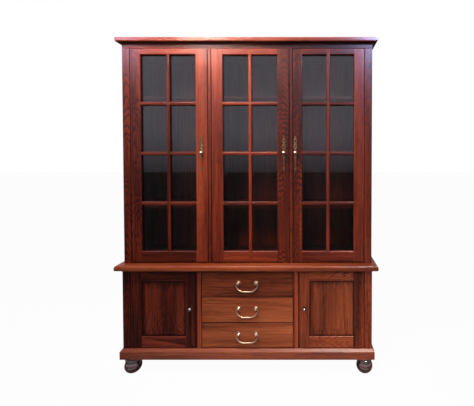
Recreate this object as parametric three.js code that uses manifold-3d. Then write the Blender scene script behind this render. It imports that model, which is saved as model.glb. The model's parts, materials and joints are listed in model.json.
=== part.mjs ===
// A tall bookcase with three framed glass doors over a waist, and two panelled cupboards and three
// drawers below it, on a plinth with turned feet.
//
// Lengths are in millimetres. X runs to the right, Y to the back and Z up. Z is 0 on the floor and
// Y is 0 on the front of the upper case, until the whole is centred on its footprint at the end.

import * as THREE from "three";
import { mergeVertices } from "three/addons/utils/BufferGeometryUtils.js";
import Module from "manifold-3d";

const wasm = await Module();
wasm.setup();

// The case from the floor up.
const CASE_WIDTH = 1512;
const CASE_DEPTH = 345;
const BASE_PROUD = 22;
const FOOT_HEIGHT = 100;
const PLINTH_HEIGHT = 63;
const BASE_HEIGHT = 470;
const WAIST_THICK = 44;
const UPPER_HEIGHT = 1305;
const TOP_THICK = 22.5;
const CORNICE_HEIGHT = 35;

// Overhangs of the mouldings past the case that each one crowns or carries.
const PLINTH_OVERHANG = 15;
const WAIST_OVERHANG = 33;
const CORNICE_OVERHANG = 28;

// Boards and posts.
const SIDE_THICK = 20;
const BACK_THICK = 10;
const FLOOR_THICK = 18;
const POST_WIDE = 45;
const PARTITION_THICK = 20;
const MULLION_WIDE = 20;
const LEFT_MULLION_X = -229.5;
const RIGHT_MULLION_X = 265;
const BASE_PARTITION_X = 294;
const BASE_PARTITION_THICK = 20;
const BASE_POST_WIDE = 30;

// Shelves.
const SHELF_THICK = 18;
const SHELF_SETBACK = 32;
const SHELVES_IN_BAY = 3;
const TOP_SHELF_DROP = 279.5;
const SHELF_PITCH = 337.4;
const HOUSING_DEPTH = 6;

// Glass doors. The stiles are measured to the glass.
const GLASS_DOOR_THICK = 24;
const GLASS_DOOR_TOP_GAP = 2;
const GLASS_DOOR_FLOOR_GAP = 8;
const GLASS_TOP_RAIL = 36;
const GLASS_BOTTOM_RAIL = 65;
const GLAZING_BAR = 21;
const PANES_ACROSS = 2;
const PANES_UP = 4;
const GLASS_RECESS = 15;
const GLASS_THICK = 4;
const GLASS_REBATE = 7;
const GLAZING_MOULD = 6;

// Cupboard doors.
const CUPBOARD_THICK = 22;
const CUPBOARD_STILE = 66;
const CUPBOARD_TOP_RAIL = 55;
const CUPBOARD_BOTTOM_RAIL = 68;
const PANEL_RECESS = 10;
const PANEL_TONGUE = 6;
const PANEL_GROOVE = 8;
const PANEL_BEVEL = 45;
const PANEL_FIELD_DROP = 3;
const PANEL_STEP = 1.6;
const PANEL_MOULD = 6;
const PANEL_PLAY = 1;

// Drawers.
const DRAWERS = 3;
const DRAWER_THICK = 22;
const DRAWER_ARRIS = 1.5;
const DRAWER_BACK_GAP = 34.7;
const DRAWER_BOX_HEADROOM = 11.7;
const DRAWER_BOX_WALL = 12;
const DRAWER_BOX_FLOOR = 8;
const DRAWER_BOX_RAISE = 30;
const RUNNER_THICK = 10;
const RUNNER_SPACE = 12;

// Gaps. REVEAL is the gap beside doors and drawers, BASE_REVEAL the one above and below them, FIT
// the play between pieces that seat on one another.
const REVEAL = 2.5;
const BASE_REVEAL = 4;
const SWING_ROOM = 4;
const FIT = 0.3;
const OVERRUN = 5;

// Pivots of the doors, with their centres a little way in from the hinged edge and from the face.
const PIN_RADIUS = 3.5;
const PIN_REACH = 9;
const PIN_PLAY = 0.5;
const PIN_INSET = 10;
const PIN_SETBACK = 6;

// Plinth.
const PLINTH_RAIL = 60;
const PLINTH_BLOCK = 125;

// Feet.
const BALL_RADIUS = 49.5;
const BALL_WIDEST = 38;
const BALL_FLAT = 27;
const BALL_GROOVE_RADIUS = 41;
const BALL_GROOVE_HEIGHT = 63;
const RING_CORE = 35;
const RING_ROUND = 10;
const RING_HEIGHT = 76;
const RING_TURN = 55;
const DISC_RADIUS = 43;
const DISC_HEIGHT = 12;
const FOOT_INSET = 4;
const SPIGOT_RADIUS = 10;
const SPIGOT_LENGTH = 30;

// Cupboard knobs.
const KNOB_RADIUS = 10;
const KNOB_LENGTH = 22;
const KNOB_ROSE_RADIUS = 11;
const KNOB_ROSE_THICK = 2.5;
const KNOB_NECK_RADIUS = 4.5;
const KNOB_INSET = 33.5;
const KNOB_RAISE = 9.5;
const KNOB_DOME_SHARE = 0.8;
const STEM_RADIUS = 3;
const STEM_LENGTH = 12;
const DROP_LENGTH = 26;
const DROP_WIDE = 9;

// Drawer pulls.
const PULL_SPACING = 106;
const PULL_RAISE = 10;
const ROSETTE_RADIUS = 14;
const ROSETTE_THICK = 3;
const PULL_NECK_RADIUS = 5;
const PULL_HEAD_RADIUS = 8;
const PULL_REACH = 17;
const PULL_EYE_RADIUS = 3.3;
const BAIL_PIN_RADIUS = 2.5;
const BAIL_GRIP_RADIUS = 4.6;
const BAIL_DROP = 48;
const BAIL_FLAT = 56;
const BAIL_TURN_SHARE = 0.8;

// Handle plates of the glass doors.
const PLATE_LENGTH = 213;
const PLATE_RAISE = 15;
const PLATE_WIDE = 25;
const PLATE_THICK = 2.5;
const PLATE_ARRIS = 0.6;
const PLATE_KNOB_RADIUS = 11;
const PLATE_KNOB_LENGTH = 24;
const PLATE_KNOB_RAISE = 110;
const PLATE_RING_RAISE = 147;
const KEYHOLE_RADIUS = 3;
const KEYHOLE_LENGTH = 12;
const KEYHOLE_FROM = -60;
const KEYHOLE_TO = 240;

// How finely round things are divided.
const ROUND_SIDES = 20;
const PIN_SIDES = 12;
const BAIL_SIDES = 8;
const BAIL_STEPS = 28;
const BALL_STEPS = 10;
const RING_STEPS = 4;
const KNOB_STEPS = 5;
const PLATE_STEPS = 34;
const KEYHOLE_STEPS = 8;
const MOULD_STEPS = 3;
const DROP_STEPS = 5;
const TURNED_SIDES = 14;
const WELD_SHARE = 1e-6;

const LEFT = -1;
const RIGHT = 1;
const SIDES = [LEFT, RIGHT];
const sideName = { [LEFT]: "left", [RIGHT]: "right" };

// Heights and faces that follow.
const plinthZ = FOOT_HEIGHT;
const baseZ = plinthZ + PLINTH_HEIGHT;
const waistZ = baseZ + BASE_HEIGHT;
const upperZ = waistZ + WAIST_THICK;
const topZ = upperZ + UPPER_HEIGHT;
const corniceZ = topZ + TOP_THICK;
const halfCase = CASE_WIDTH / 2;
const innerX = halfCase - SIDE_THICK;
const postX = halfCase - POST_WIDE;
const baseFront = -BASE_PROUD;
const backFace = CASE_DEPTH - BACK_THICK;
const upperPostBack = GLASS_DOOR_THICK + SWING_ROOM;
const basePostBack = baseFront + CUPBOARD_THICK + SWING_ROOM;
const basePostX = BASE_PARTITION_X - BASE_POST_WIDE / 2;
const footX = halfCase + PLINTH_OVERHANG - FOOT_INSET - BALL_RADIUS;
const footFrontY = baseFront - PLINTH_OVERHANG + FOOT_INSET + BALL_RADIUS;
const footBackY = CASE_DEPTH - FOOT_INSET - BALL_RADIUS;

const wood = (color, roughness) => new THREE.MeshStandardMaterial({ color, roughness, metalness: 0 });
const mahogany = wood(0x7d3a22, 0.32);
const mahoganyDark = wood(0x57261a, 0.36);
const mahoganyPanel = wood(0x6e3120, 0.34);
const innerWood = wood(0x4a241b, 0.5);
const footWood = wood(0x2a1613, 0.22);
const brass = new THREE.MeshStandardMaterial({ color: 0x9a7b4a, roughness: 0.38, metalness: 0.9 });
const glass = new THREE.MeshStandardMaterial({
  color: 0xdfe8e6,
  roughness: 0.05,
  metalness: 0,
  transparent: true,
  opacity: 0.18,
});

// A closed geometry as a solid that can be cut and joined.
function solid(geometry) {
  const bare = geometry.clone();
  bare.deleteAttribute("normal");
  bare.deleteAttribute("uv");
  const merged = mergeVertices(bare, CASE_WIDTH * WELD_SHARE);
  const mesh = new wasm.Mesh({
    numProp: 3,
    vertProperties: merged.attributes.position.array,
    triVerts: new Uint32Array(merged.index.array),
  });
  return new wasm.Manifold(mesh);
}

function piece(name, body, material) {
  const cut = body.getMesh();
  const indexed = new THREE.BufferGeometry();
  indexed.setAttribute("position", new THREE.BufferAttribute(cut.vertProperties, 3));
  indexed.setIndex(new THREE.BufferAttribute(cut.triVerts, 1));
  const geometry = indexed.toNonIndexed();
  geometry.computeVertexNormals();
  const mesh = new THREE.Mesh(geometry, material);
  mesh.name = name;
  return mesh;
}

// A block over three spans. Each span is its two ends in either order.
function block(...spans) {
  const low = spans.map((span) => Math.min(...span));
  const size = spans.map((span) => Math.abs(span[1] - span[0]));
  const geometry = new THREE.BoxGeometry(...size);
  geometry.translate(...low.map((value, axis) => value + size[axis] / 2));
  return solid(geometry);
}

// A skin through rings of corners. Each ring runs counter-clockwise seen from the last one.
function loft(rings) {
  const count = rings[0].length;
  const index = [];
  for (let level = 0; level + 1 < rings.length; level += 1) {
    for (let corner = 0; corner < count; corner += 1) {
      const low = level * count + corner;
      const lowNext = level * count + ((corner + 1) % count);
      index.push(low, lowNext, lowNext + count);
      index.push(low, lowNext + count, low + count);
    }
  }
  const last = (rings.length - 1) * count;
  for (let corner = 1; corner + 1 < count; corner += 1) {
    index.push(0, corner + 1, corner);
    index.push(last, last + corner, last + corner + 1);
  }
  const geometry = new THREE.BufferGeometry();
  geometry.setAttribute("position", new THREE.Float32BufferAttribute(rings.flat(2), 3));
  geometry.setIndex(index);
  return solid(geometry);
}

// A board with a moulding worked round its front and two ends, flat at the back. Each level is a
// height and how far the edge stands out there from halfWidth and front.
function moulded(levels, halfWidth, front) {
  const rings = levels.map(([z, out]) => [
    [-halfWidth - out, front - out, z],
    [halfWidth + out, front - out, z],
    [halfWidth + out, CASE_DEPTH, z],
    [-halfWidth - out, CASE_DEPTH, z],
  ]);
  return loft(rings);
}

// The levels of a moulding from its shares of a height and an overhang.
function mouldLevels(profileShares, z, height, overhang) {
  return profileShares.map(([heightShare, outShare]) => [z + height * heightShare, overhang * outShare]);
}

// An upright rectangular body, or cutter, whose edge moves in and out from back to front. Each
// level is a depth and how far the edge is drawn in from the frame given by its spans.
function fronted(levels, [x0, x1], [z0, z1]) {
  const rings = levels.map(([y, inset]) => [
    [x0 + inset, y, z0 + inset],
    [x1 - inset, y, z0 + inset],
    [x1 - inset, y, z1 - inset],
    [x0 + inset, y, z1 - inset],
  ]);
  return loft(rings);
}

function rod(radius, length, sides = ROUND_SIDES) {
  return new THREE.CylinderGeometry(radius, radius, length, sides);
}

// A round pin or socket that stands on z0 and ends at z1.
function upright(radius, x, y, z0, z1, sides = PIN_SIDES) {
  const geometry = rod(radius, z1 - z0, sides);
  geometry.rotateX(Math.PI / 2);
  geometry.translate(x, y, (z0 + z1) / 2);
  return solid(geometry);
}

// A round hole or stem square to the front, from y0 to y1.
function inward(radius, x, z, y0, y1, sides = PIN_SIDES) {
  const geometry = rod(radius, y1 - y0, sides);
  geometry.translate(x, (y0 + y1) / 2, z);
  return solid(geometry);
}

// A turned body. Its outline runs up the axis as pairs of radius and height.
function turned(outline, sides = TURNED_SIDES) {
  return new THREE.LatheGeometry(outline.map(([radius, height]) => new THREE.Vector2(radius, height)), sides);
}

// Part of a ring of points, as pairs, from one angle to another in degrees.
function arc(centre, radii, from, to, steps) {
  const points = [];
  for (let step = 0; step <= steps; step += 1) {
    const angle = THREE.MathUtils.degToRad(from + ((to - from) * step) / steps);
    points.push([centre[0] + radii[0] * Math.cos(angle), centre[1] + radii[1] * Math.sin(angle)]);
  }
  return points;
}

// The plinth: a frame of moulded rails with a block in each corner for a foot.
const plinthShares = [
  [0, 0.94],
  [0.03, 1],
  [0.75, 1],
  [0.98, 0.2],
  [1, 0.2],
];

function plinth() {
  const top = baseZ - FIT;
  const height = top - plinthZ;
  const outerX = halfCase + PLINTH_OVERHANG;
  const outerFront = baseFront - PLINTH_OVERHANG;
  let body = moulded(mouldLevels(plinthShares, plinthZ, height, PLINTH_OVERHANG), halfCase, baseFront);
  const inside = block(
    [PLINTH_RAIL - outerX, outerX - PLINTH_RAIL],
    [outerFront + PLINTH_RAIL, CASE_DEPTH - PLINTH_RAIL],
    [plinthZ - OVERRUN, top + OVERRUN],
  );
  body = body.subtract(inside);
  const joint = PLINTH_RAIL - OVERRUN;
  for (const side of SIDES) {
    const acrossX = [side * (outerX - joint), side * (outerX - PLINTH_BLOCK)];
    const frontY = [outerFront + joint, outerFront + PLINTH_BLOCK];
    const backY = [CASE_DEPTH - joint, CASE_DEPTH - PLINTH_BLOCK];
    body = body.add(block(acrossX, frontY, [plinthZ, top]));
    body = body.add(block(acrossX, backY, [plinthZ, top]));
    for (const footY of [footFrontY, footBackY]) {
      const socketTop = plinthZ + SPIGOT_LENGTH + FIT;
      body = body.subtract(
        upright(SPIGOT_RADIUS + PIN_PLAY, side * footX, footY, plinthZ - OVERRUN, socketTop, ROUND_SIDES),
      );
    }
    const pinX = side * (postX - REVEAL - PIN_INSET);
    body = body.subtract(pinSocket(pinX, baseFront + PIN_SETBACK, top - PIN_REACH, top + OVERRUN));
  }
  return piece("plinth", body, mahogany);
}

function pinSocket(x, y, z0, z1) {
  return upright(PIN_RADIUS + PIN_PLAY, x, y, z0, z1);
}

// A foot: a ball flattened on the floor, a groove, a ring and a disc under the plinth, with a
// spigot that stands up into the corner block.
function foot(name, x, y) {
  const lower = Math.acos(BALL_FLAT / BALL_RADIUS);
  const lowerRise = BALL_WIDEST / Math.sin(lower);
  const upper = Math.acos(BALL_GROOVE_RADIUS / BALL_RADIUS);
  const upperRise = (BALL_GROOVE_HEIGHT - BALL_WIDEST) / Math.sin(upper);
  const degrees = THREE.MathUtils.radToDeg;
  const centre = [0, BALL_WIDEST];
  const half = BALL_STEPS / 2;
  const top = FOOT_HEIGHT - FIT;
  const discZ = top - DISC_HEIGHT;
  const outline = [
    [0, 0],
    ...arc(centre, [BALL_RADIUS, lowerRise], -degrees(lower), 0, half),
    ...arc(centre, [BALL_RADIUS, upperRise], 0, degrees(upper), half).slice(1),
    ...arc([RING_CORE, RING_HEIGHT], [RING_ROUND, RING_ROUND], -RING_TURN, RING_TURN, RING_STEPS),
    [DISC_RADIUS, discZ],
    [DISC_RADIUS, top],
    [SPIGOT_RADIUS, top],
    [SPIGOT_RADIUS, top + SPIGOT_LENGTH],
    [0, top + SPIGOT_LENGTH],
  ];
  const geometry = turned(outline, ROUND_SIDES);
  geometry.rotateX(Math.PI / 2);
  const mesh = piece(name, solid(geometry), footWood);
  mesh.position.set(x, y, 0);
  return mesh;
}

// The lower case: a floor, a back, two sides with front posts, and two partitions with front posts
// and the ledges that the drawers run on.
function baseBottom() {
  const body = block([FIT - innerX, innerX - FIT], [basePostBack, backFace - FIT], [baseZ, baseZ + FLOOR_THICK]);
  return piece("base_bottom", body, innerWood);
}

function baseBack() {
  const body = block([FIT - innerX, innerX - FIT], [backFace, CASE_DEPTH], [baseZ, waistZ - FIT]);
  return piece("base_back", body, innerWood);
}

function baseSide(side) {
  const heights = [baseZ, waistZ - FIT];
  const board = block([side * innerX, side * halfCase], [baseFront, CASE_DEPTH], heights);
  const post = block([side * postX, side * (innerX + OVERRUN)], [baseFront, basePostBack - FIT], heights);
  return piece("base_side_" + sideName[side], board.add(post), mahoganyDark);
}

const drawerPitch = (BASE_HEIGHT - BASE_REVEAL) / DRAWERS;
const drawerHeight = drawerPitch - BASE_REVEAL;
const drawerLow = (row) => baseZ + BASE_REVEAL + row * drawerPitch;
const partitionInner = BASE_PARTITION_X - BASE_PARTITION_THICK / 2;
const drawerBoxX = partitionInner - RUNNER_SPACE;

function basePartition(side) {
  const postSpan = [side * basePostX, side * (basePostX + BASE_POST_WIDE)];
  const boardSpan = [side * partitionInner, side * (partitionInner + BASE_PARTITION_THICK)];
  let body = block(postSpan, [baseFront, basePostBack - FIT], [baseZ, waistZ - FIT]);
  const boardBack = [basePostBack - OVERRUN, backFace - FIT];
  body = body.add(block(boardSpan, boardBack, [baseZ + FLOOR_THICK + FIT, waistZ - FIT]));
  for (let row = 0; row < DRAWERS; row += 1) {
    const ledgeTop = drawerLow(row) + DRAWER_BOX_RAISE - FIT;
    const ledgeSpan = [side * (partitionInner + OVERRUN), side * (drawerBoxX - DRAWER_BOX_WALL)];
    body = body.add(block(ledgeSpan, [basePostBack - FIT, backFace - FIT], [ledgeTop - RUNNER_THICK, ledgeTop]));
  }
  return piece("base_partition_" + sideName[side], body, mahoganyDark);
}

// The waist: a board with a rounded nose over a cove, and sockets for the pins of all five doors.
const waistShares = [
  [0, 0.1],
  [0.12, 0.13],
  [0.19, 0.24],
  [0.24, 0.42],
  [0.26, 0.82],
  [0.3, 0.93],
  [0.38, 0.985],
  [0.48, 1],
  [0.66, 1],
  [0.78, 0.97],
  [0.88, 0.9],
  [0.96, 0.8],
  [1, 0.68],
];

function waistTop() {
  const top = upperZ - FIT;
  let body = moulded(mouldLevels(waistShares, waistZ, top - waistZ, WAIST_OVERHANG), halfCase, baseFront);
  for (const door of glassDoors) {
    body = body.subtract(pinSocket(door.pinX, PIN_SETBACK, top - PIN_REACH, top + OVERRUN));
  }
  for (const side of SIDES) {
    const pinX = side * (postX - REVEAL - PIN_INSET);
    const socketTop = waistZ + PIN_REACH + FIT;
    body = body.subtract(pinSocket(pinX, baseFront + PIN_SETBACK, waistZ - OVERRUN, socketTop));
  }
  return piece("waist_top", body, mahogany);
}

// The upper case. The housings for the shelves are cut into its sides and partitions.
const shelfTop = (row) => topZ - TOP_SHELF_DROP - row * SHELF_PITCH;

function housings(board, x, depth) {
  let cut = board;
  for (let row = 0; row < SHELVES_IN_BAY; row += 1) {
    const z = shelfTop(row);
    cut = cut.subtract(block([x, x + depth], [SHELF_SETBACK - FIT, backFace], [z - SHELF_THICK - FIT, z + FIT]));
  }
  return cut;
}

function upperSide(side) {
  const heights = [upperZ, topZ - FIT];
  const board = block([side * innerX, side * halfCase], [0, CASE_DEPTH], heights);
  const post = block([side * postX, side * (innerX + OVERRUN)], [0, upperPostBack - FIT], heights);
  const body = housings(board, side * innerX, side * HOUSING_DEPTH).add(post);
  return piece("upper_side_" + sideName[side], body, mahogany);
}

function upperPartition(name, x) {
  const half = PARTITION_THICK / 2;
  const mullionSpan = [x - MULLION_WIDE / 2, x + MULLION_WIDE / 2];
  const mullion = block(mullionSpan, [0, upperPostBack - FIT], [upperZ, topZ - FIT]);
  const boardDeep = [upperPostBack - OVERRUN, backFace - FIT];
  let board = block([x - half, x + half], boardDeep, [upperZ + FLOOR_THICK + FIT, topZ - FIT]);
  board = housings(board, x - half, HOUSING_DEPTH);
  board = housings(board, x + half, -HOUSING_DEPTH);
  return piece(name, board.add(mullion), mahogany);
}

function upperBottom() {
  const body = block([FIT - innerX, innerX - FIT], [upperPostBack, backFace - FIT], [upperZ, upperZ + FLOOR_THICK]);
  return piece("upper_bottom", body, innerWood);
}

function upperBack() {
  const body = block([FIT - innerX, innerX - FIT], [backFace, CASE_DEPTH], [upperZ, topZ - FIT]);
  return piece("upper_back", body, innerWood);
}

function upperTop() {
  let body = block([-halfCase, halfCase], [0, CASE_DEPTH], [topZ, corniceZ - FIT]);
  for (const door of glassDoors) {
    body = body.subtract(pinSocket(door.pinX, PIN_SETBACK, topZ - OVERRUN, topZ + PIN_REACH + FIT));
  }
  return piece("upper_top", body, mahoganyDark);
}

const corniceShares = [
  [0, 0.1],
  [0.1, 0.17],
  [0.17, 0.32],
  [0.21, 0.5],
  [0.25, 0.78],
  [0.3, 0.88],
  [0.38, 0.95],
  [0.5, 1],
  [0.94, 1],
  [1, 0.96],
];

function cornice() {
  const levels = mouldLevels(corniceShares, corniceZ, CORNICE_HEIGHT, CORNICE_OVERHANG);
  return piece("cornice", moulded(levels, halfCase, 0), mahogany);
}

// The three bays, each between two inner faces of boards.
const halfPartition = PARTITION_THICK / 2;
const bays = [
  { name: "left", x0: -innerX, x1: LEFT_MULLION_X - halfPartition },
  { name: "middle", x0: LEFT_MULLION_X + halfPartition, x1: RIGHT_MULLION_X - halfPartition },
  { name: "right", x0: RIGHT_MULLION_X + halfPartition, x1: innerX },
];
const rowNames = ["upper", "centre", "lower"];

function shelf(bay, row) {
  const reach = HOUSING_DEPTH - FIT;
  const width = bay.x1 - bay.x0 + 2 * reach;
  const depth = backFace - FIT - SHELF_SETBACK;
  const body = solid(new THREE.BoxGeometry(width, depth, SHELF_THICK));
  const mesh = piece("shelf_" + bay.name + "_" + rowNames[row], body, innerWood);
  mesh.position.set((bay.x0 + bay.x1) / 2, SHELF_SETBACK + depth / 2, shelfTop(row) - SHELF_THICK / 2);
  return mesh;
}

// The glass doors, from the openings between the posts and the mullions. The pins stand at the
// hinged edge, the handle plate on the other stile.
const halfMullion = MULLION_WIDE / 2;
const glassDoors = [
  {
    name: "left",
    x0: -postX + REVEAL,
    x1: LEFT_MULLION_X - halfMullion - REVEAL,
    leftStile: 62,
    rightStile: 72,
    hinge: LEFT,
    handleInset: 35,
  },
  {
    name: "middle",
    x0: LEFT_MULLION_X + halfMullion + REVEAL,
    x1: RIGHT_MULLION_X - halfMullion - REVEAL,
    leftStile: 69,
    rightStile: 72,
    hinge: LEFT,
    handleInset: 31,
  },
  {
    name: "right",
    x0: RIGHT_MULLION_X + halfMullion + REVEAL,
    x1: postX - REVEAL,
    leftStile: 56,
    rightStile: 62,
    hinge: RIGHT,
    handleInset: 13,
  },
];
for (const door of glassDoors) {
  const hingedLeft = door.hinge === LEFT;
  door.pinX = hingedLeft ? door.x0 + PIN_INSET : door.x1 - PIN_INSET;
  door.handleX = hingedLeft ? door.x1 - door.handleInset : door.x0 + door.handleInset;
}
const glassDoorLow = upperZ + GLASS_DOOR_FLOOR_GAP;
const glassDoorHigh = topZ - GLASS_DOOR_TOP_GAP;
const plateLow = (glassDoorLow + glassDoorHigh - PLATE_LENGTH) / 2 + PLATE_RAISE;
const sightZ = [glassDoorLow + GLASS_BOTTOM_RAIL, glassDoorHigh - GLASS_TOP_RAIL];
const sightX = (door) => [door.x0 + door.leftStile, door.x1 - door.rightStile];

// The levels of a rounded inner edge, from the back of a cut to the front face of a frame.
function rounded(back, front, mould) {
  const quarter = arc([front + mould, 0], [mould, mould], 180, 90, MOULD_STEPS);
  return [[back, 0], ...quarter.reverse().map(([y, rise]) => [y, rise - mould]), [front - OVERRUN, -mould]];
}

function glassFrame(door) {
  let body = block([door.x0, door.x1], [0, GLASS_DOOR_THICK], [glassDoorLow, glassDoorHigh]);
  const [x0, x1] = sightX(door);
  const [z0, z1] = sightZ;
  const paneWide = (x1 - x0 - GLAZING_BAR * (PANES_ACROSS - 1)) / PANES_ACROSS;
  const paneHigh = (z1 - z0 - GLAZING_BAR * (PANES_UP - 1)) / PANES_UP;
  for (let column = 0; column < PANES_ACROSS; column += 1) {
    for (let row = 0; row < PANES_UP; row += 1) {
      const left = x0 + column * (paneWide + GLAZING_BAR);
      const low = z0 + row * (paneHigh + GLAZING_BAR);
      const levels = rounded(GLASS_RECESS + FIT, 0, GLAZING_MOULD);
      body = body.subtract(fronted(levels, [left, left + paneWide], [low, low + paneHigh]));
    }
  }
  const grooveBack = GLASS_RECESS + GLASS_THICK + 2 * FIT;
  body = body.subtract(
    block(
      [x0 - GLASS_REBATE, x1 + GLASS_REBATE],
      [GLASS_RECESS, grooveBack],
      [z0 - GLASS_REBATE, z1 + GLASS_REBATE],
    ),
  );
  body = body.subtract(block([x0, x1], [GLASS_RECESS, GLASS_DOOR_THICK + OVERRUN], [z0, z1]));
  body = body.add(pin(door.pinX, PIN_SETBACK, glassDoorLow + OVERRUN, upperZ - PIN_REACH + FIT));
  body = body.add(pin(door.pinX, PIN_SETBACK, glassDoorHigh - OVERRUN, topZ + PIN_REACH));
  return piece("glass_door_frame_" + door.name, body, mahogany);
}

function pin(x, y, inside, tip) {
  return upright(PIN_RADIUS, x, y, Math.min(inside, tip), Math.max(inside, tip));
}

function glassPane(door) {
  const [x0, x1] = sightX(door);
  const [z0, z1] = sightZ;
  const reach = GLASS_REBATE - FIT;
  const front = GLASS_RECESS + FIT;
  const body = block([x0 - reach, x1 + reach], [front, front + GLASS_THICK], [z0 - reach, z1 + reach]);
  return piece("glass_pane_" + door.name, body, glass);
}

// A handle plate: a long pierced outline with a knob under a ring round the keyhole. Half of its
// outline is given up the plate, as shares of the length and of half the width.
const plateShares = [
  [0, 0],
  [0.015, 0.3],
  [0.04, 0.45],
  [0.075, 0.5],
  [0.105, 0.3],
  [0.14, 0.22],
  [0.24, 0.22],
  [0.31, 0.28],
  [0.36, 0.5],
  [0.41, 0.56],
  [0.455, 0.4],
  [0.485, 0.7],
  [0.53, 0.95],
  [0.575, 0.7],
  [0.6, 0.44],
  [0.63, 0.72],
  [0.69, 1],
  [0.75, 0.76],
  [0.78, 0.44],
  [0.81, 0.66],
  [0.86, 0.86],
  [0.91, 0.64],
  [0.94, 0.32],
  [0.965, 0.42],
  [0.985, 0.32],
  [1, 0],
];

function plateOutline() {
  const halfPoints = plateShares.map(
    ([up, out]) => new THREE.Vector2((PLATE_WIDE / 2) * out, PLATE_LENGTH * up),
  );
  const half = new THREE.SplineCurve(halfPoints).getPoints(PLATE_STEPS);
  const right = half.map((point) => new THREE.Vector2(Math.max(point.x, 0), point.y));
  const left = right.slice(1, -1).reverse();
  return new THREE.Shape([...right, ...left.map((point) => new THREE.Vector2(-point.x, point.y))]);
}

// A keyhole: a round top over a narrower slot, as the right half of its outline.
function keyholePath(centre) {
  const slot = KEYHOLE_RADIUS / 2;
  const eye = arc([0, centre], [KEYHOLE_RADIUS, KEYHOLE_RADIUS], KEYHOLE_FROM, KEYHOLE_TO, KEYHOLE_STEPS);
  const foot = centre - KEYHOLE_LENGTH;
  const points = [[-slot, foot], [slot, foot], ...eye];
  return new THREE.Path(points.map(([x, y]) => new THREE.Vector2(x, y)));
}

// A knob on its shank, from the door's face outwards.
function knobOutline(radius, length, neck) {
  const headRise = radius * KNOB_DOME_SHARE;
  const centre = length - headRise;
  const start = THREE.MathUtils.radToDeg(Math.acos(neck / radius));
  return [[neck, 0], ...arc([0, centre], [radius, headRise], -start, 90, KNOB_STEPS)];
}

function doorHandle(door) {
  const outline = plateOutline();
  outline.holes.push(keyholePath(PLATE_RING_RAISE + KEYHOLE_LENGTH / 3));
  const geometry = new THREE.ExtrudeGeometry(outline, {
    depth: PLATE_THICK - PLATE_ARRIS,
    bevelThickness: PLATE_ARRIS,
    bevelSize: PLATE_ARRIS,
    bevelOffset: -PLATE_ARRIS,
    bevelSegments: 1,
  });
  geometry.rotateX(Math.PI / 2);
  geometry.translate(0, -FIT - PLATE_ARRIS, 0);
  const plate = solid(geometry);
  const [shank, ...head] = knobOutline(PLATE_KNOB_RADIUS, PLATE_KNOB_LENGTH, KNOB_NECK_RADIUS);
  const knob = turned([[0, shank[1]], shank, ...head]);
  knob.rotateX(Math.PI);
  knob.translate(0, -FIT - PLATE_ARRIS, PLATE_KNOB_RAISE);
  const mesh = piece("door_handle_" + door.name, plate.add(solid(knob)), brass);
  mesh.position.set(door.handleX, 0, plateLow);
  return mesh;
}

// The cupboard doors: a frame, and a raised and fielded panel held in its groove.
const cupboardLow = baseZ + BASE_REVEAL;
const cupboardHigh = waistZ - BASE_REVEAL;
const cupboardX = [basePostX + BASE_POST_WIDE + REVEAL, postX - REVEAL];
const panelX = [cupboardX[0] + CUPBOARD_STILE, cupboardX[1] - CUPBOARD_STILE];
const panelZ = [cupboardLow + CUPBOARD_BOTTOM_RAIL, cupboardHigh - CUPBOARD_TOP_RAIL];
const grooveFront = baseFront + PANEL_RECESS;
const grooveBackY = grooveFront + PANEL_TONGUE + 2 * FIT;

const knobX = cupboardX[0] + KNOB_INSET;
const knobZ = (cupboardLow + cupboardHigh) / 2 + KNOB_RAISE;

const mirrored = (side, span) => span.map((x) => side * x).sort((a, b) => a - b);
const grown = (span, by) => [span[0] - by, span[1] + by];

function cupboardFrame(side) {
  const backY = baseFront + CUPBOARD_THICK;
  let body = block(mirrored(side, cupboardX), [baseFront, backY], [cupboardLow, cupboardHigh]);
  const levels = rounded(backY + OVERRUN, baseFront, PANEL_MOULD);
  const across = mirrored(side, panelX);
  body = body.subtract(fronted(levels, across, panelZ));
  const groove = grown(across, PANEL_GROOVE);
  body = body.subtract(block(groove, [grooveFront, grooveBackY], grown(panelZ, PANEL_GROOVE)));
  const pinX = side * (cupboardX[1] - PIN_INSET);
  const pinY = baseFront + PIN_SETBACK;
  body = body.add(pin(pinX, pinY, cupboardLow + OVERRUN, baseZ - PIN_REACH + FIT));
  body = body.add(pin(pinX, pinY, cupboardHigh - OVERRUN, waistZ + PIN_REACH));
  body = body.subtract(stemHole(side * knobX, knobZ));
  return piece("cupboard_frame_" + sideName[side], body, mahoganyPanel);
}

function stemHole(x, z) {
  return inward(STEM_RADIUS + PIN_PLAY, x, z, baseFront - OVERRUN, baseFront + STEM_LENGTH + FIT);
}

function cupboardPanel(side) {
  const reach = PANEL_GROOVE - PANEL_PLAY;
  const field = baseFront + PANEL_FIELD_DROP;
  const tongueFront = grooveFront + FIT;
  const levels = [
    [tongueFront + PANEL_TONGUE, 0],
    [tongueFront, 0],
    [tongueFront, reach],
    [field + PANEL_STEP, reach + PANEL_BEVEL],
    [field, reach + PANEL_BEVEL],
  ];
  const body = fronted(levels, grown(mirrored(side, panelX), reach), grown(panelZ, reach));
  return piece("cupboard_panel_" + sideName[side], body, mahoganyPanel);
}

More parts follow.
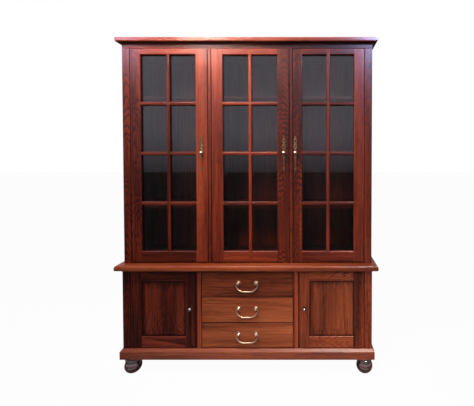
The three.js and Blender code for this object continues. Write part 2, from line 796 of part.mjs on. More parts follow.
// A cupboard knob on a round rose. The left rose has a drop below it for the key.
function cupboardKnob(side) {
  const [, ...head] = knobOutline(KNOB_RADIUS, KNOB_LENGTH, KNOB_NECK_RADIUS);
  const outline = [
    [0, -STEM_LENGTH],
    [STEM_RADIUS, -STEM_LENGTH],
    [STEM_RADIUS, FIT],
    [KNOB_ROSE_RADIUS, FIT],
    [KNOB_ROSE_RADIUS, KNOB_ROSE_THICK / 2],
    [KNOB_ROSE_RADIUS - KNOB_ROSE_THICK, KNOB_ROSE_THICK],
    [KNOB_NECK_RADIUS, KNOB_ROSE_THICK],
    ...head,
  ];
  const geometry = turned(outline);
  geometry.rotateX(Math.PI);
  let body = solid(geometry);
  if (side === LEFT) {
    const drop = new THREE.Shape();
    drop.moveTo(-DROP_WIDE / 2, 0);
    drop.quadraticCurveTo(-DROP_WIDE / 2, -DROP_LENGTH / 2, 0, -DROP_LENGTH);
    drop.quadraticCurveTo(DROP_WIDE / 2, -DROP_LENGTH / 2, DROP_WIDE / 2, 0);
    const options = { depth: KNOB_ROSE_THICK / 2, bevelEnabled: false, curveSegments: DROP_STEPS };
    const plate = new THREE.ExtrudeGeometry(drop, options);
    plate.rotateX(Math.PI / 2);
    plate.translate(0, -FIT, 0);
    body = body.add(solid(plate));
  }
  const mesh = piece("cupboard_knob_" + sideName[side], body, brass);
  mesh.position.set(side * knobX, baseFront, knobZ);
  return mesh;
}

// The drawers: a front with eased edges and an open box behind it.
const drawerNames = ["lower", "centre", "upper"];
const drawerX = basePostX - REVEAL;
const pullZ = (row) => drawerLow(row) + drawerHeight / 2 + PULL_RAISE;
const bailReach = PULL_SPACING / 2;

function drawerFront(row) {
  const back = baseFront + DRAWER_THICK;
  const levels = [
    [back, 0],
    [baseFront + DRAWER_ARRIS, 0],
    [baseFront, DRAWER_ARRIS],
  ];
  const low = drawerLow(row);
  let body = fronted(levels, [-drawerX, drawerX], [low, low + drawerHeight]);
  for (const side of SIDES) {
    body = body.subtract(stemHole(side * bailReach, pullZ(row)));
  }
  return piece("drawer_front_" + drawerNames[row], body, mahoganyPanel);
}

function drawerBox(row) {
  const low = drawerLow(row) + DRAWER_BOX_RAISE;
  const high = drawerLow(row) + drawerHeight - DRAWER_BOX_HEADROOM;
  const front = baseFront + DRAWER_THICK + FIT;
  const back = backFace - DRAWER_BACK_GAP;
  const inside = drawerBoxX - DRAWER_BOX_WALL;
  const body = block([-drawerBoxX, drawerBoxX], [front, back], [low, high]).subtract(
    block(
      [-inside, inside],
      [front + DRAWER_BOX_WALL, back - DRAWER_BOX_WALL],
      [low + DRAWER_BOX_FLOOR, high + OVERRUN],
    ),
  );
  return piece("drawer_box_" + drawerNames[row], body, innerWood);
}

// A pull's post: a rosette on the face, a neck, and a head with an eye for the bail's end.
function pullPost(row, side) {
  const head = PULL_HEAD_RADIUS;
  const start = THREE.MathUtils.radToDeg(Math.acos(PULL_NECK_RADIUS / head));
  const outline = [
    [0, -STEM_LENGTH],
    [STEM_RADIUS, -STEM_LENGTH],
    [STEM_RADIUS, FIT],
    [ROSETTE_RADIUS, FIT],
    [ROSETTE_RADIUS, ROSETTE_THICK / 2],
    [ROSETTE_RADIUS - ROSETTE_THICK, ROSETTE_THICK],
    [PULL_NECK_RADIUS + ROSETTE_THICK, ROSETTE_THICK],
    [PULL_NECK_RADIUS, 2 * ROSETTE_THICK],
    ...arc([0, PULL_REACH], [head, head], -start, 90, KNOB_STEPS),
  ];
  const geometry = turned(outline);
  geometry.rotateX(Math.PI);
  const eye = rod(PULL_EYE_RADIUS, 2 * head + 2 * OVERRUN, PIN_SIDES);
  eye.rotateZ(Math.PI / 2);
  eye.translate(0, -PULL_REACH, 0);
  const name = "pull_post_" + drawerNames[row] + "_" + sideName[side];
  const mesh = piece(name, solid(geometry).subtract(solid(eye)), brass);
  mesh.position.set(side * bailReach, baseFront, pullZ(row));
  return mesh;
}

// A bail: a rod that leaves each eye outwards, turns down and runs in to a flat grip. It is
// thickest in the middle of the grip.
function pullBail(row) {
  const tip = bailReach - PULL_HEAD_RADIUS / 2;
  const shoulder = bailReach + PULL_HEAD_RADIUS + BAIL_GRIP_RADIUS;
  const curvePoints = [
    [tip, 0],
    [bailReach + PULL_HEAD_RADIUS - BAIL_PIN_RADIUS, 0],
    [shoulder - BAIL_PIN_RADIUS, -BAIL_PIN_RADIUS / 3],
    [shoulder, -BAIL_DROP / 6],
    [shoulder - BAIL_GRIP_RADIUS / 2, -BAIL_DROP / 3],
    [(shoulder + BAIL_FLAT / 2) / 2, -BAIL_DROP * BAIL_TURN_SHARE],
    [BAIL_FLAT / 2, -BAIL_DROP + BAIL_PIN_RADIUS / 3],
    [BAIL_FLAT / 4, -BAIL_DROP],
  ];
  const right = curvePoints.map(([x, z]) => new THREE.Vector3(x, 0, z));
  const left = [...curvePoints].reverse().map(([x, z]) => new THREE.Vector3(-x, 0, z));
  const path = new THREE.CatmullRomCurve3([...left.reverse(), ...right.reverse()], false, "centripetal");
  const rings = [];
  for (let step = 0; step <= BAIL_STEPS; step += 1) {
    const share = step / BAIL_STEPS;
    const centre = path.getPointAt(share);
    const along = path.getTangentAt(share);
    const nearness = THREE.MathUtils.smoothstep(Math.abs(centre.z), 0, BAIL_DROP);
    const radius = THREE.MathUtils.lerp(BAIL_PIN_RADIUS, BAIL_GRIP_RADIUS, nearness);
    const across = new THREE.Vector3(along.z, 0, -along.x);
    const ring = [];
    for (let corner = 0; corner < BAIL_SIDES; corner += 1) {
      const angle = (2 * Math.PI * corner) / BAIL_SIDES;
      const point = centre.clone().addScaledVector(across, radius * Math.cos(angle));
      point.y += radius * Math.sin(angle);
      ring.push(point.toArray());
    }
    rings.push(ring);
  }
  const mesh = piece("pull_bail_" + drawerNames[row], loft(rings), brass);
  mesh.position.set(0, baseFront - PULL_REACH, pullZ(row));
  return mesh;
}

const bookcase = new THREE.Group();
bookcase.add(plinth(), baseBottom(), baseBack(), waistTop());
for (const side of SIDES) {
  bookcase.add(foot("foot_front_" + sideName[side], side * footX, footFrontY));
  bookcase.add(foot("foot_back_" + sideName[side], side * footX, footBackY));
  bookcase.add(baseSide(side), basePartition(side), upperSide(side));
  const cupboard = new THREE.Group();
  cupboard.add(cupboardFrame(side), cupboardPanel(side), cupboardKnob(side));
  bookcase.add(cupboard);
}
for (let row = 0; row < DRAWERS; row += 1) {
  const drawer = new THREE.Group();
  drawer.add(drawerFront(row), drawerBox(row), pullBail(row));
  for (const side of SIDES) {
    drawer.add(pullPost(row, side));
  }
  bookcase.add(drawer);
}
bookcase.add(upperPartition("upper_partition_left", LEFT_MULLION_X));
bookcase.add(upperPartition("upper_partition_right", RIGHT_MULLION_X));
bookcase.add(upperBottom(), upperBack(), upperTop(), cornice());
for (const bay of bays) {
  for (let row = 0; row < SHELVES_IN_BAY; row += 1) {
    bookcase.add(shelf(bay, row));
  }
}
for (const door of glassDoors) {
  const leaf = new THREE.Group();
  leaf.add(glassFrame(door), glassPane(door), doorHandle(door));
  bookcase.add(leaf);
}
bookcase.position.y = -(CASE_DEPTH + baseFront - WAIST_OVERHANG) / 2;

export default bookcase;
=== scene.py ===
# %% [markdown]
# # A bookcase with glass doors
#
# The joinery is already solved: the case, the doors, the drawers and their pulls come in as a
# frame of exact solids. This lesson dresses them. It eases the sharp arrises, turns the round
# parts finely, and gives every piece its finish: red-brown lacquered wood, dark feet, aged brass
# and clear glass.

import json
import math
import random

import bmesh
import bpy
from mathutils import Matrix, Vector


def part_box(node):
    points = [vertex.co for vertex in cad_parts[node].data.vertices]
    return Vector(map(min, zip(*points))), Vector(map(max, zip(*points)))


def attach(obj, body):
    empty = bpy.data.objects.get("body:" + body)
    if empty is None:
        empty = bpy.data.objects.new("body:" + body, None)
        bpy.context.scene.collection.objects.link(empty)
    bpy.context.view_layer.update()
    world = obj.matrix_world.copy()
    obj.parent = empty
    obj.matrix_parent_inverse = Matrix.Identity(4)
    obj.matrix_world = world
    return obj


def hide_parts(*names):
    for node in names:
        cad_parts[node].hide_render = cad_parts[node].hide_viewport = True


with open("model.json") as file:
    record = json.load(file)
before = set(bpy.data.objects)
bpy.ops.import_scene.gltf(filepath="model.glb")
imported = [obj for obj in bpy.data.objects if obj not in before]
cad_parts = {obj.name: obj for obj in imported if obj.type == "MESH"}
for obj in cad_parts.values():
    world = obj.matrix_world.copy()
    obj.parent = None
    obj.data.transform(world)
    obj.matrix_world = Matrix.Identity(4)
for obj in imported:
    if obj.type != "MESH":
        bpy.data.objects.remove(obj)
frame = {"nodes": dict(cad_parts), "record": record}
nodes = frame["nodes"]
record = frame["record"]
node_body = {node: body for body, members in record["behaviour"]["bodies"].items() for node in members}
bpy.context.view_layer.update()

# %% [markdown]
# ## Shader sums
#
# A finish is a small calculation on coordinates. Drawn as boxes and wires it is long, so one
# class wraps a socket and lets Python's own signs add the Math nodes. A second class holds a node
# tree and has one method that adds any other node.


# %% A value that can be added and multiplied
class Value:
    def __init__(self, net, socket):
        self.net = net
        self.socket = socket

    def maths(self, operation, first, second, clamp=False):
        return self.net.maths(operation, first, second, clamp)

    def __add__(self, other):
        return self.maths("ADD", self, other)

    def __sub__(self, other):
        return self.maths("SUBTRACT", self, other)

    def __rsub__(self, other):
        return self.maths("SUBTRACT", other, self)

    def __mul__(self, other):
        return self.maths("MULTIPLY", self, other)

    def over(self, floor):
        """How far the value stands over a floor, and nothing below it."""
        return self.maths("SUBTRACT", self, floor, clamp=True)

    def wrapped(self):
        return self.maths("FRACT", self, 0)

    def root(self):
        return self.maths("SQRT", self, 0)

    __radd__ = __add__
    __rmul__ = __mul__


# %% A net of shader nodes
# The Mix node's sockets for colours go by number, because their names repeat.
MIX_FACTOR, MIX_FIRST, MIX_SECOND, MIX_RESULT = 0, 6, 7, 2


class Net:
    def __init__(self, tree):
        self.tree = tree

    def maths(self, operation, first, second, clamp=False):
        settings = {"operation": operation, "use_clamp": clamp}
        return self.node("ShaderNodeMath", settings, {0: first, 1: second})

    def node(self, kind, settings=None, inputs=None, out=0):
        made = self.tree.nodes.new(kind)
        for key, value in (settings or {}).items():
            if key == "stops":
                self.fill_ramp(made.color_ramp, value)
            else:
                setattr(made, key, value)
        for key, value in (inputs or {}).items():
            self.feed(made.inputs[key], value)
        return Value(self, made.outputs[out])

    def fill_ramp(self, ramp, stops):
        for index, (place, colour) in enumerate(stops):
            stop = ramp.elements[index] if index < len(ramp.elements) else ramp.elements.new(place)
            stop.position = place
            stop.color = (*colour, 1)

    def feed(self, socket, value):
        if isinstance(value, Value):
            self.tree.links.new(value.socket, socket)
        else:
            socket.default_value = value

    def place(self, kind="Object"):
        return self.node("ShaderNodeTexCoord", out=kind)

    def part(self, vector, letter):
        return self.node("ShaderNodeSeparateXYZ", None, {0: vector}, out=letter)

    def ray_is(self, kind):
        return self.node("ShaderNodeLightPath", out=f"Is {kind} Ray")

    def noise(self, place, scale, detail, roughness):
        settings = {"Vector": place, "Scale": scale, "Detail": detail, "Roughness": roughness}
        return self.node("ShaderNodeTexNoise", None, settings, out="Fac")

    def ramp(self, factor, stops):
        return self.node("ShaderNodeValToRGB", {"stops": stops}, {0: factor})

    def colour_mix(self, factor, first, second):
        inputs = {MIX_FACTOR: factor}
        for socket, colour in ((MIX_FIRST, first), (MIX_SECOND, second)):
            inputs[socket] = colour if isinstance(colour, Value) else (*colour, 1)
        return self.node("ShaderNodeMix", {"data_type": "RGBA"}, inputs, out=MIX_RESULT)

    def shader_mix(self, factor, first, second):
        return self.node("ShaderNodeMixShader", None, {0: factor, 1: first, 2: second})


class Finish(Net):
    """A material, with its Principled surface."""

    def __init__(self, name):
        self.material = bpy.data.materials.new(name)
        self.material.use_nodes = True
        super().__init__(self.material.node_tree)
        self.surface = self.tree.nodes["Principled BSDF"]

    def surface_is(self, **values):
        for key, value in values.items():
            self.feed(self.surface.inputs[key.replace("_", " ")], value)

    def ends_in(self, shader):
        self.tree.links.new(shader.socket, self.tree.nodes["Material Output"].inputs["Surface"])


# %% [markdown]
# ## Lacquered wood
#
# The bookcase is a ring-porous hardwood under a red-brown lacquer. Three things show in it. Short
# dark pores run along each board. Broader streaks run with them. Growth rings are cones round the
# heart of the trunk, and where the saw crossed them, arches nest in one another along the board. An
# arch is a line on which the way along the board and the distance from the heart add up to the same
# sum. A slow noise bends it, and a sawtooth gives each ring its sharp dark edge.
#
# The pattern follows the board, so the same finish is made for boards that stand, boards that lie
# across, and boards that run to the back. Seven numbers stored on the faces of a piece vary it: one
# moves the pattern, one makes the colour redder or browner, one lifts or darkens it, one says how
# strong and close the arches are, two say where the heart line is, and one says how much coat of
# polish lies on it, which is most on the mouldings. The lifting and darkening also carries painted
# light: painted shade in gaps, corners and under mouldings, a painted highlight on panel slopes,
# and a painted falloff of light down the door rails. The coat comes in two kinds: a fresh one, and a
# duller one for the plinth.

# %% The wood's colours and figure
BOARD, TONE, LIFT, ARCHES = "board", "tone", "lift", "arches"
HEART_OUT, HEART_IN, POLISH = "heart_out", "heart_in", "polish"
PLAIN_POLISH = 0.24
FRESH_COAT, WORN_COAT = 0.25, 0.42
BOARD_STEP = 7.3
GRAIN_DRAW, FIGURE_DRAW, BEND_DRAW = 0.03, 0.09, 0.3
ARCHES_ALONG, ARCHES_OUT = 84, 46
# A noise is given as its scale, its detail and its roughness.
BEND_NOISE, BEND_REACH = (16, 2, 0.55), 5
STREAK_NOISE, STREAK_WEIGHT = (110, 3, 0.6), 0.6
CLOUD_NOISE, CLOUD_WEIGHT = (9, 2, 0.5), 0.8
PORE_NOISE, PORE_FLOOR, PORE_WEIGHT = (420, 3, 0.65), 0.54, 1.3
PATCH_NOISE, PATCH_FLOOR, PATCH_GAIN = (11, 1, 0.5), 0.36, 4.5
RING_MIDDLE, RING_WEIGHT = 0.72, 1.3
MIDDLE = 0.5
PORE_BUMP, PORE_DEPTH = 0.12, 0.0006
SATIN, PORE_ROUGHNESS = 0.45, 0.9
WOOD_SHINE = 0.12
ALONG = {"across": "X", "deep": "Y", "up": "Z"}
OUT = {"across": "Z", "deep": "Z", "up": "X"}
INTO = {"across": "Y", "deep": "X", "up": "Y"}
RED_STOPS = [
    (0.0, (0.012, 0.0022, 0.0016)),
    (0.25, (0.055, 0.0068, 0.0035)),
    (0.5, (0.21, 0.027, 0.0105)),
    (0.75, (0.4, 0.066, 0.025)),
    (1.0, (0.6, 0.13, 0.055)),
]
BROWN_STOPS = [
    (0.0, (0.015, 0.004, 0.002)),
    (0.25, (0.06, 0.0125, 0.0045)),
    (0.5, (0.21, 0.043, 0.0135)),
    (0.75, (0.38, 0.095, 0.031)),
    (1.0, (0.56, 0.17, 0.065)),
]
RING_STOPS = [
    (0.0, (0, 0, 0)),
    (0.22, (0.65, 0.65, 0.65)),
    (0.75, (1, 1, 1)),
    (1.0, (0.35, 0.35, 0.35)),
]


def drawn_out(net, place, run, draw):
    """Coordinates squeezed along a board, so that what is drawn on them is long."""
    squeeze = {"across": (draw, 1, 1), "deep": (1, draw, 1), "up": (1, 1, draw)}[run]
    return net.node("ShaderNodeVectorMath", {"operation": "MULTIPLY"}, {0: place, 1: squeeze})


def stored(net, name):
    return net.node("ShaderNodeAttribute", {"attribute_name": name}, out="Fac")


def wood(name, run, dullness):
    """The finish of boards whose grain runs one way, under a coat of a given dullness."""
    finish = Finish(name)
    place = finish.place()
    step = stored(finish, BOARD) * BOARD_STEP
    moved = finish.node("ShaderNodeVectorMath", {"operation": "ADD"}, {0: place, 1: step})
    grain = drawn_out(finish, moved, run, GRAIN_DRAW)
    figure = drawn_out(finish, moved, run, FIGURE_DRAW)
    loose = drawn_out(finish, moved, run, BEND_DRAW)
    along, out, into = (finish.part(place, axis[run]) for axis in (ALONG, OUT, INTO))
    out = out - stored(finish, HEART_OUT)
    into = into - stored(finish, HEART_IN)
    from_heart = (out * out + into * into).root()
    strength = stored(finish, ARCHES)
    bend = finish.noise(loose, *BEND_NOISE) * BEND_REACH
    phase = along * strength * ARCHES_ALONG + from_heart * ARCHES_OUT + bend
    rings = finish.ramp(phase.wrapped(), RING_STOPS)
    streaks = finish.noise(grain, *STREAK_NOISE)
    pores = finish.noise(grain, *PORE_NOISE)
    clouds = finish.noise(figure, *CLOUD_NOISE)
    over_floor = finish.noise(loose, *PATCH_NOISE) - PATCH_FLOOR
    patches = finish.maths("MULTIPLY", over_floor, PATCH_GAIN, clamp=True)
    shade = (rings - RING_MIDDLE) * strength * patches * RING_WEIGHT
    shade = shade + (streaks - MIDDLE) * STREAK_WEIGHT + (clouds - MIDDLE) * CLOUD_WEIGHT
    shade = shade + MIDDLE + stored(finish, LIFT) - pores.over(PORE_FLOOR) * PORE_WEIGHT
    red = finish.ramp(shade, RED_STOPS)
    brown = finish.ramp(shade, BROWN_STOPS)
    grooves = {"Height": pores, "Strength": PORE_BUMP, "Distance": PORE_DEPTH}
    finish.surface_is(Base_Color=finish.colour_mix(stored(finish, TONE), red, brown))
    finish.surface_is(Normal=finish.node("ShaderNodeBump", None, grooves, out="Normal"))
    finish.surface_is(Roughness=SATIN + pores.over(MIDDLE) * PORE_ROUGHNESS)
    finish.surface_is(Coat_Weight=stored(finish, POLISH), Coat_Roughness=dullness)
    finish.surface_is(Specular_IOR_Level=WOOD_SHINE)
    return finish.material


RUNS = ["up", "across", "deep"]
woods = [wood("lacquered_wood_" + run, run, FRESH_COAT) for run in RUNS]
worn_woods = [wood("worn_wood_" + run, run, WORN_COAT) for run in RUNS]
print("Wood finishes:", len(woods) + len(worn_woods))

# %% [markdown]
# ## Feet, brass and glass
#
# The feet are lacquered almost black and shine. The brass is old: brown in its hollows, brighter
# where it is worn. Five kinds of it tell the pulls, the plates and the parts of a knob from one
# another. The glass is thin and clear. It lets the inside show and mirrors a little of what is
# around it, so it is a mix of see-through and mirror, weighed by Fresnel.

# %% The feet's lacquer
FOOT_BLACK = (0.01, 0.004, 0.0045)
FOOT_BROWN = (0.12, 0.03, 0.028)
FOOT_DRAW = 0.2
FOOT_NOISE = (60, 3, 0.6)
FOOT_ROUGHNESS, FOOT_CLOUDING = 0.2, 0.12
FOOT_COAT, FOOT_COAT_ROUGHNESS, FOOT_COAT_IOR = 1.0, 0.05, 1.75


def foot_lacquer():
    finish = Finish("foot_lacquer")
    grain = drawn_out(finish, finish.place(), "up", FOOT_DRAW)
    cloud = finish.noise(grain, *FOOT_NOISE)
    finish.surface_is(Base_Color=finish.colour_mix(cloud, FOOT_BLACK, FOOT_BROWN))
    finish.surface_is(Roughness=FOOT_ROUGHNESS + cloud * FOOT_CLOUDING, Coat_Weight=FOOT_COAT)
    finish.surface_is(Coat_Roughness=FOOT_COAT_ROUGHNESS, Coat_IOR=FOOT_COAT_IOR)
    return finish.material


# %% The brass
# Each kind has a colour in its hollows, a colour where it is worn, and a roughness.
BRASSES = {
    "aged_brass": ((0.1, 0.053, 0.026), (1.0, 0.72, 0.5), 0.42),
    "tarnished_brass": ((0.07, 0.035, 0.014), (0.3, 0.2, 0.095), 0.5),
    # Pale brass also serves as a painted highlight, on the left knob and on the crowns of both knobs.
    "pale_brass": ((0.2, 0.17, 0.15), (0.9, 0.83, 0.76), 0.34),
    "dark_brass": ((0.03, 0.014, 0.008), (0.2, 0.13, 0.09), 0.34),
    "black_brass": ((0.008, 0.005, 0.004), (0.05, 0.035, 0.028), 0.5),
}
WEAR_NOISE = (150, 4, 0.6)
WEAR_GLOSS = 0.22
BRASS_METALLIC = 0.95


def aged_brass(name, hollow, worn, roughness):
    finish = Finish(name)
    wear = finish.noise(finish.place(), *WEAR_NOISE)
    finish.surface_is(Base_Color=finish.colour_mix(wear, hollow, worn))
    finish.surface_is(Roughness=roughness - wear * WEAR_GLOSS, Metallic=BRASS_METALLIC)
    return finish.material


# %% The glass
GLASS_CLEAR = (0.95, 0.955, 0.955, 1)
GLASS_MIRROR = (0.96, 0.95, 1, 1)
GLASS_ROUGHNESS, GLASS_IOR = 0.02, 1.52


def clear_glass():
    finish = Finish("clear_glass")
    clear = finish.node("ShaderNodeBsdfTransparent", None, {"Color": GLASS_CLEAR})
    shine = {"Color": GLASS_MIRROR, "Roughness": GLASS_ROUGHNESS}
    mirror = finish.node("ShaderNodeBsdfGlossy", None, shine)
    fresnel = finish.node("ShaderNodeFresnel", None, {"IOR": GLASS_IOR})
    finish.ends_in(finish.shader_mix(fresnel, clear, mirror))
    return finish.material


foot_finish = foot_lacquer()
brass_finish, plate_finish, pale_finish, dark_finish, rose_finish = (
    aged_brass(name, *look) for name, look in BRASSES.items()
)
glass_finish = clear_glass()
print("Kinds of brass:", len(BRASSES))

# %% [markdown]
# ## Pieces from the frame's solids
#
# A real arris is never sharp: a joiner takes it off with a few strokes, and lacquer rounds it
# more. Each wooden solid is copied, its loose triangles are merged into flat faces, and every edge
# at which the surface turns sharply gets a narrow bevel. Where one solid stands for several boards,
# the copy is first cut along the joints, so that each board has its own pattern.

# %% Copies with eased edges
WELD = 0.00002
EASE = 0.0011
EASE_ANGLE = math.radians(35)
EASE_SEGMENTS = 2
FLAT_ANGLE = math.radians(0.5)
FLAT_WEIGHT = 100
AXES = {"x": Vector((1, 0, 0)), "y": Vector((0, 1, 0)), "z": Vector((0, 0, 1))}
DICE_START = 11
dice = random.Random(DICE_START)


def merged_copy(node):
    shape = bmesh.new()
    shape.from_mesh(nodes[node].data)
    bmesh.ops.remove_doubles(shape, verts=shape.verts, dist=WELD)
    bmesh.ops.dissolve_limit(
        shape, angle_limit=FLAT_ANGLE, use_dissolve_boundaries=False,
        verts=shape.verts, edges=shape.edges, delimit=set(),
    )
    return shape


def cut_at(shape, axis, places):
    for place in places:
        bmesh.ops.bisect_plane(
            shape, geom=shape.verts[:] + shape.edges[:] + shape.faces[:], dist=WELD,
            plane_co=AXES[axis] * place, plane_no=AXES[axis],
        )


def piece(name, shape, finishes, node):
    """An object from a bmesh that stands for one node of the frame and moves with its body."""
    mesh = bpy.data.meshes.new(name)
    for face in shape.faces:
        face.smooth = True
    shape.to_mesh(mesh)
    shape.free()
    made = bpy.data.objects.new(name, mesh)
    bpy.context.scene.collection.objects.link(made)
    for finish in finishes:
        mesh.materials.append(finish)
    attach(made, node_body[node])
    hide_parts(node)
    return made


def eased(made, width):
    bevel = made.modifiers.new("eased arris", "BEVEL")
    bevel.width = width
    bevel.segments = EASE_SEGMENTS
    bevel.limit_method = "ANGLE"
    bevel.angle_limit = EASE_ANGLE
    bevel.use_clamp_overlap = False
    flat = made.modifiers.new("flat faces", "WEIGHTED_NORMAL")
    flat.weight = FLAT_WEIGHT


def wooden(node, shape, board_of, polish=PLAIN_POLISH, ease=EASE, finishes=woods):
    """Stores each face's board number, look, heart and polish, and gives it its grain's finish.

    A look is three numbers: how brown, how light, and how strong the arches are.
    """
    stored_names = (BOARD, TONE, LIFT, ARCHES, HEART_OUT, HEART_IN, POLISH)
    layers = [shape.faces.layers.float.new(name) for name in stored_names]
    for face in shape.faces:
        number, run, look, heart = board_of(face)
        heart_out, heart_in = getattr(heart, OUT[run].lower()), getattr(heart, INTO[run].lower())
        for layer, value in zip(layers, (number, *look, heart_out, heart_in, polish)):
            face[layer] = value
        face.material_index = RUNS.index(run)
    eased(piece(node + "_eased", shape, finishes, node), ease)


# %% Helpers for painted shade
FACING = 0.6


def darker(look, by):
    tone, lift, arches = look
    return tone, lift - by, arches


def faces_front(face):
    return face.normal.y < -FACING


def faces_sideways(face):
    return abs(face.normal.x) > FACING


def middle_of(node):
    low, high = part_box(node)
    return (low + high) / 2


# %% [markdown]
# ## Plain boards
#
# Shelves, backs, bottoms, the top board and the drawer boxes are each dressed as one board with
# one grain direction. The top board's front edge shows under the cornice and is polished less.

# %% Boards of one piece
# Each kind of board: its grain, its look and its polish.
INNER_BOARD = ("across", (0.45, -0.1, 0.1), PLAIN_POLISH)
SHELF_BOARD = ("across", (0.2, 0.08, 0.1), PLAIN_POLISH)
plain_boards = {
    "base_bottom": INNER_BOARD,
    "base_back": INNER_BOARD,
    "upper_bottom": INNER_BOARD,
    "upper_back": ("up", (0.35, -0.03, 0.08), PLAIN_POLISH),
    # The top board's darker look is partly its own tone and partly painted shade under the cornice.
    "upper_top": ("across", (0.1, -0.1, 0.06), 0.13),
}
for node in nodes:
    if node.startswith("shelf_"):
        plain_boards[node] = SHELF_BOARD
    if node.startswith("drawer_box_"):
        plain_boards[node] = INNER_BOARD


def plain_board(node, run, look, polish):
    number = dice.random()
    heart = middle_of(node)
    wooden(node, merged_copy(node), lambda face: (number, run, look, heart), polish)


for node, row in plain_boards.items():
    plain_board(node, *row)
print("Plain boards:", len(plain_boards))

# %% [markdown]
# ## Boards beside a narrow gap
#
# A drawer front and a partition meet their neighbours over a gap of a few millimetres, where shade
# falls. The faces in the gap are painted darker, a painted shade that makes the gap read as a dark
# line, and the front of such a board is lighter than its other faces.

# %% Drawer fronts
FRONT_LOOKS = {
    "drawer_front_lower": (1.0, 0.14, 0.06),
    "drawer_front_centre": (1.0, 0.07, 0.08),
    # The upper drawer is darker partly by painted shade from the ledge above it.
    "drawer_front_upper": (0.75, -0.16, 0.08),
}
GAP_DEPTH = 0.028
# Painted shade on faces in a gap or off the front of a board.
GAP_SHADE = 0.34


def drawer_front(node, look):
    number = dice.random()
    heart = middle_of(node)

    def board_of(face):
        # Faces off the front get painted shade.
        shade = 0 if faces_front(face) else GAP_SHADE
        return number, "across", darker(look, shade), heart

    wooden(node, merged_copy(node), board_of)


for node, look in FRONT_LOOKS.items():
    drawer_front(node, look)
print("Drawer fronts:", len(FRONT_LOOKS))

# %% [markdown]
# ## Raised panels
#
# A cupboard panel is raised and fielded: a flat field, a small step, and on each side a slope that
# runs under the frame. A painted shadow of the frame lies in the corner between slope and frame,
# widest at the top and at the left, and it fades out up the slope. The panel is cut into narrow bands
# along the frame, and each band is a little lighter than the one outside it. The step and the hidden
# edges get painted shade, and the side slopes a painted highlight.

# %% The cupboard panels
# Each panel: its look, and how wide the painted shadow in the corner is at the left, right, bottom and
# top.
PANELS = {
    "cupboard_panel_left": ((0.1, -0.2, 0.16), (0.024, 0.014, 0.01, 0.026)),
    "cupboard_panel_right": ((0.85, 0.04, 0.06), (0.036, 0.006, 0.01, 0.024)),
}
TONGUE = 0.007
CORNER_BANDS, CORNER_SHADOW = 4, 0.3
SLOPING, SLOPE_HIGHLIGHT = 0.05, 0.04
PANEL_POLISH, PANEL_EASE = 0.1, 0.0003


def raised_panel(node, look, corner_widths):
    number = dice.random()
    heart = middle_of(node)
    low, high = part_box(node)
    left, right, bottom, top = corner_widths
    corners = [
        ("x", low.x + TONGUE, 1, left),
        ("x", high.x - TONGUE, -1, right),
        ("z", low.z + TONGUE, 1, bottom),
        ("z", high.z - TONGUE, -1, top),
    ]
    shape = merged_copy(node)
    for axis, edge, inwards, width in corners:
        steps = range(1, CORNER_BANDS + 1)
        cut_at(shape, axis, [edge + inwards * width * step / CORNER_BANDS for step in steps])

    def board_of(face):
        # The step and the edges off the front get painted shade.
        if not faces_front(face):
            return number, "up", darker(look, GAP_SHADE), heart
        place = face.calc_center_median()
        depths = [
            (getattr(place, axis) - edge) * inwards / width for axis, edge, inwards, width in corners
        ]
        # Painted shadow of the frame, darkest at the frame and fading over its width.
        shade = max(0, 1 - min(depths)) * CORNER_SHADOW
        # The side slopes get a painted highlight.
        worn = SLOPE_HIGHLIGHT if abs(face.normal.x) > SLOPING else 0
        return number, "up", darker(look, shade - worn), heart

    wooden(node, shape, board_of, PANEL_POLISH, PANEL_EASE)


for node, row in PANELS.items():
    raised_panel(node, *row)
print("Raised panels:", len(PANELS))

# %% [markdown]
# ## Partitions
#
# Only the front edge of a partition shows while the doors are shut. The strip that lies in the gap
# is painted dark, and so are two narrow bands along the arrises: painted shade of the gap beside
# them. The partition is cut behind its front and along the bands.

# %% The partitions
# Each partition: its look, and how wide the painted shade bands are along its left and its right arris.
PARTITIONS = {
    "base_partition_left": ((0.1, 0.0, 0.08), (0.006, 0.002)),
    "base_partition_right": ((0.3, 0.0, 0.08), (0.01, 0.003)),
    "upper_partition_left": ((0.05, -0.02, 0.1), (0.002, 0.002)),
    "upper_partition_right": ((0.05, -0.16, 0.15), (0.001, 0.001)),
}
# Painted shade in the bands along the arrises.
EDGE_SHADE = 0.2


def partition(node, look, bands):
    number = dice.random()
    heart = middle_of(node)
    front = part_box(node)[0].y
    gap_back = front + GAP_DEPTH
    shape = merged_copy(node)
    across = [vert.co.x for vert in shape.verts if vert.co.y < front + WELD]
    # Between these the front is free of the painted shade bands.
    unshaded_span = (min(across) + bands[0], max(across) - bands[1])
    cut_at(shape, "y", [gap_back])
    cut_at(shape, "x", unshaded_span)

    def board_of(face):
        place = face.calc_center_median()
        # Painted shade on faces in the gap and on the bands along the arrises.
        if faces_sideways(face) and place.y < gap_back:
            return number, "up", darker(look, GAP_SHADE), heart
        if faces_front(face) and not unshaded_span[0] < place.x < unshaded_span[1]:
            return number, "up", darker(look, EDGE_SHADE), heart
        return number, "up", look, heart

    wooden(node, shape, board_of)


for node, row in PARTITIONS.items():
    partition(node, *row)
print("Partitions:", len(PARTITIONS))

# %% [markdown]
# ## Mouldings that turn a corner
#
# The cornice, the waist and the plinth run round three sides and are mitred at the corners. The
# grain of the front piece runs across, and that of each return runs to the back. The solid's own
# mitre edges part the faces, so the sideways part of a face's direction tells them apart. A face
# that looks down lies in shadow, and that shade is painted into its colour as a darker look. Shoes
# and brooms have dulled the plinth.

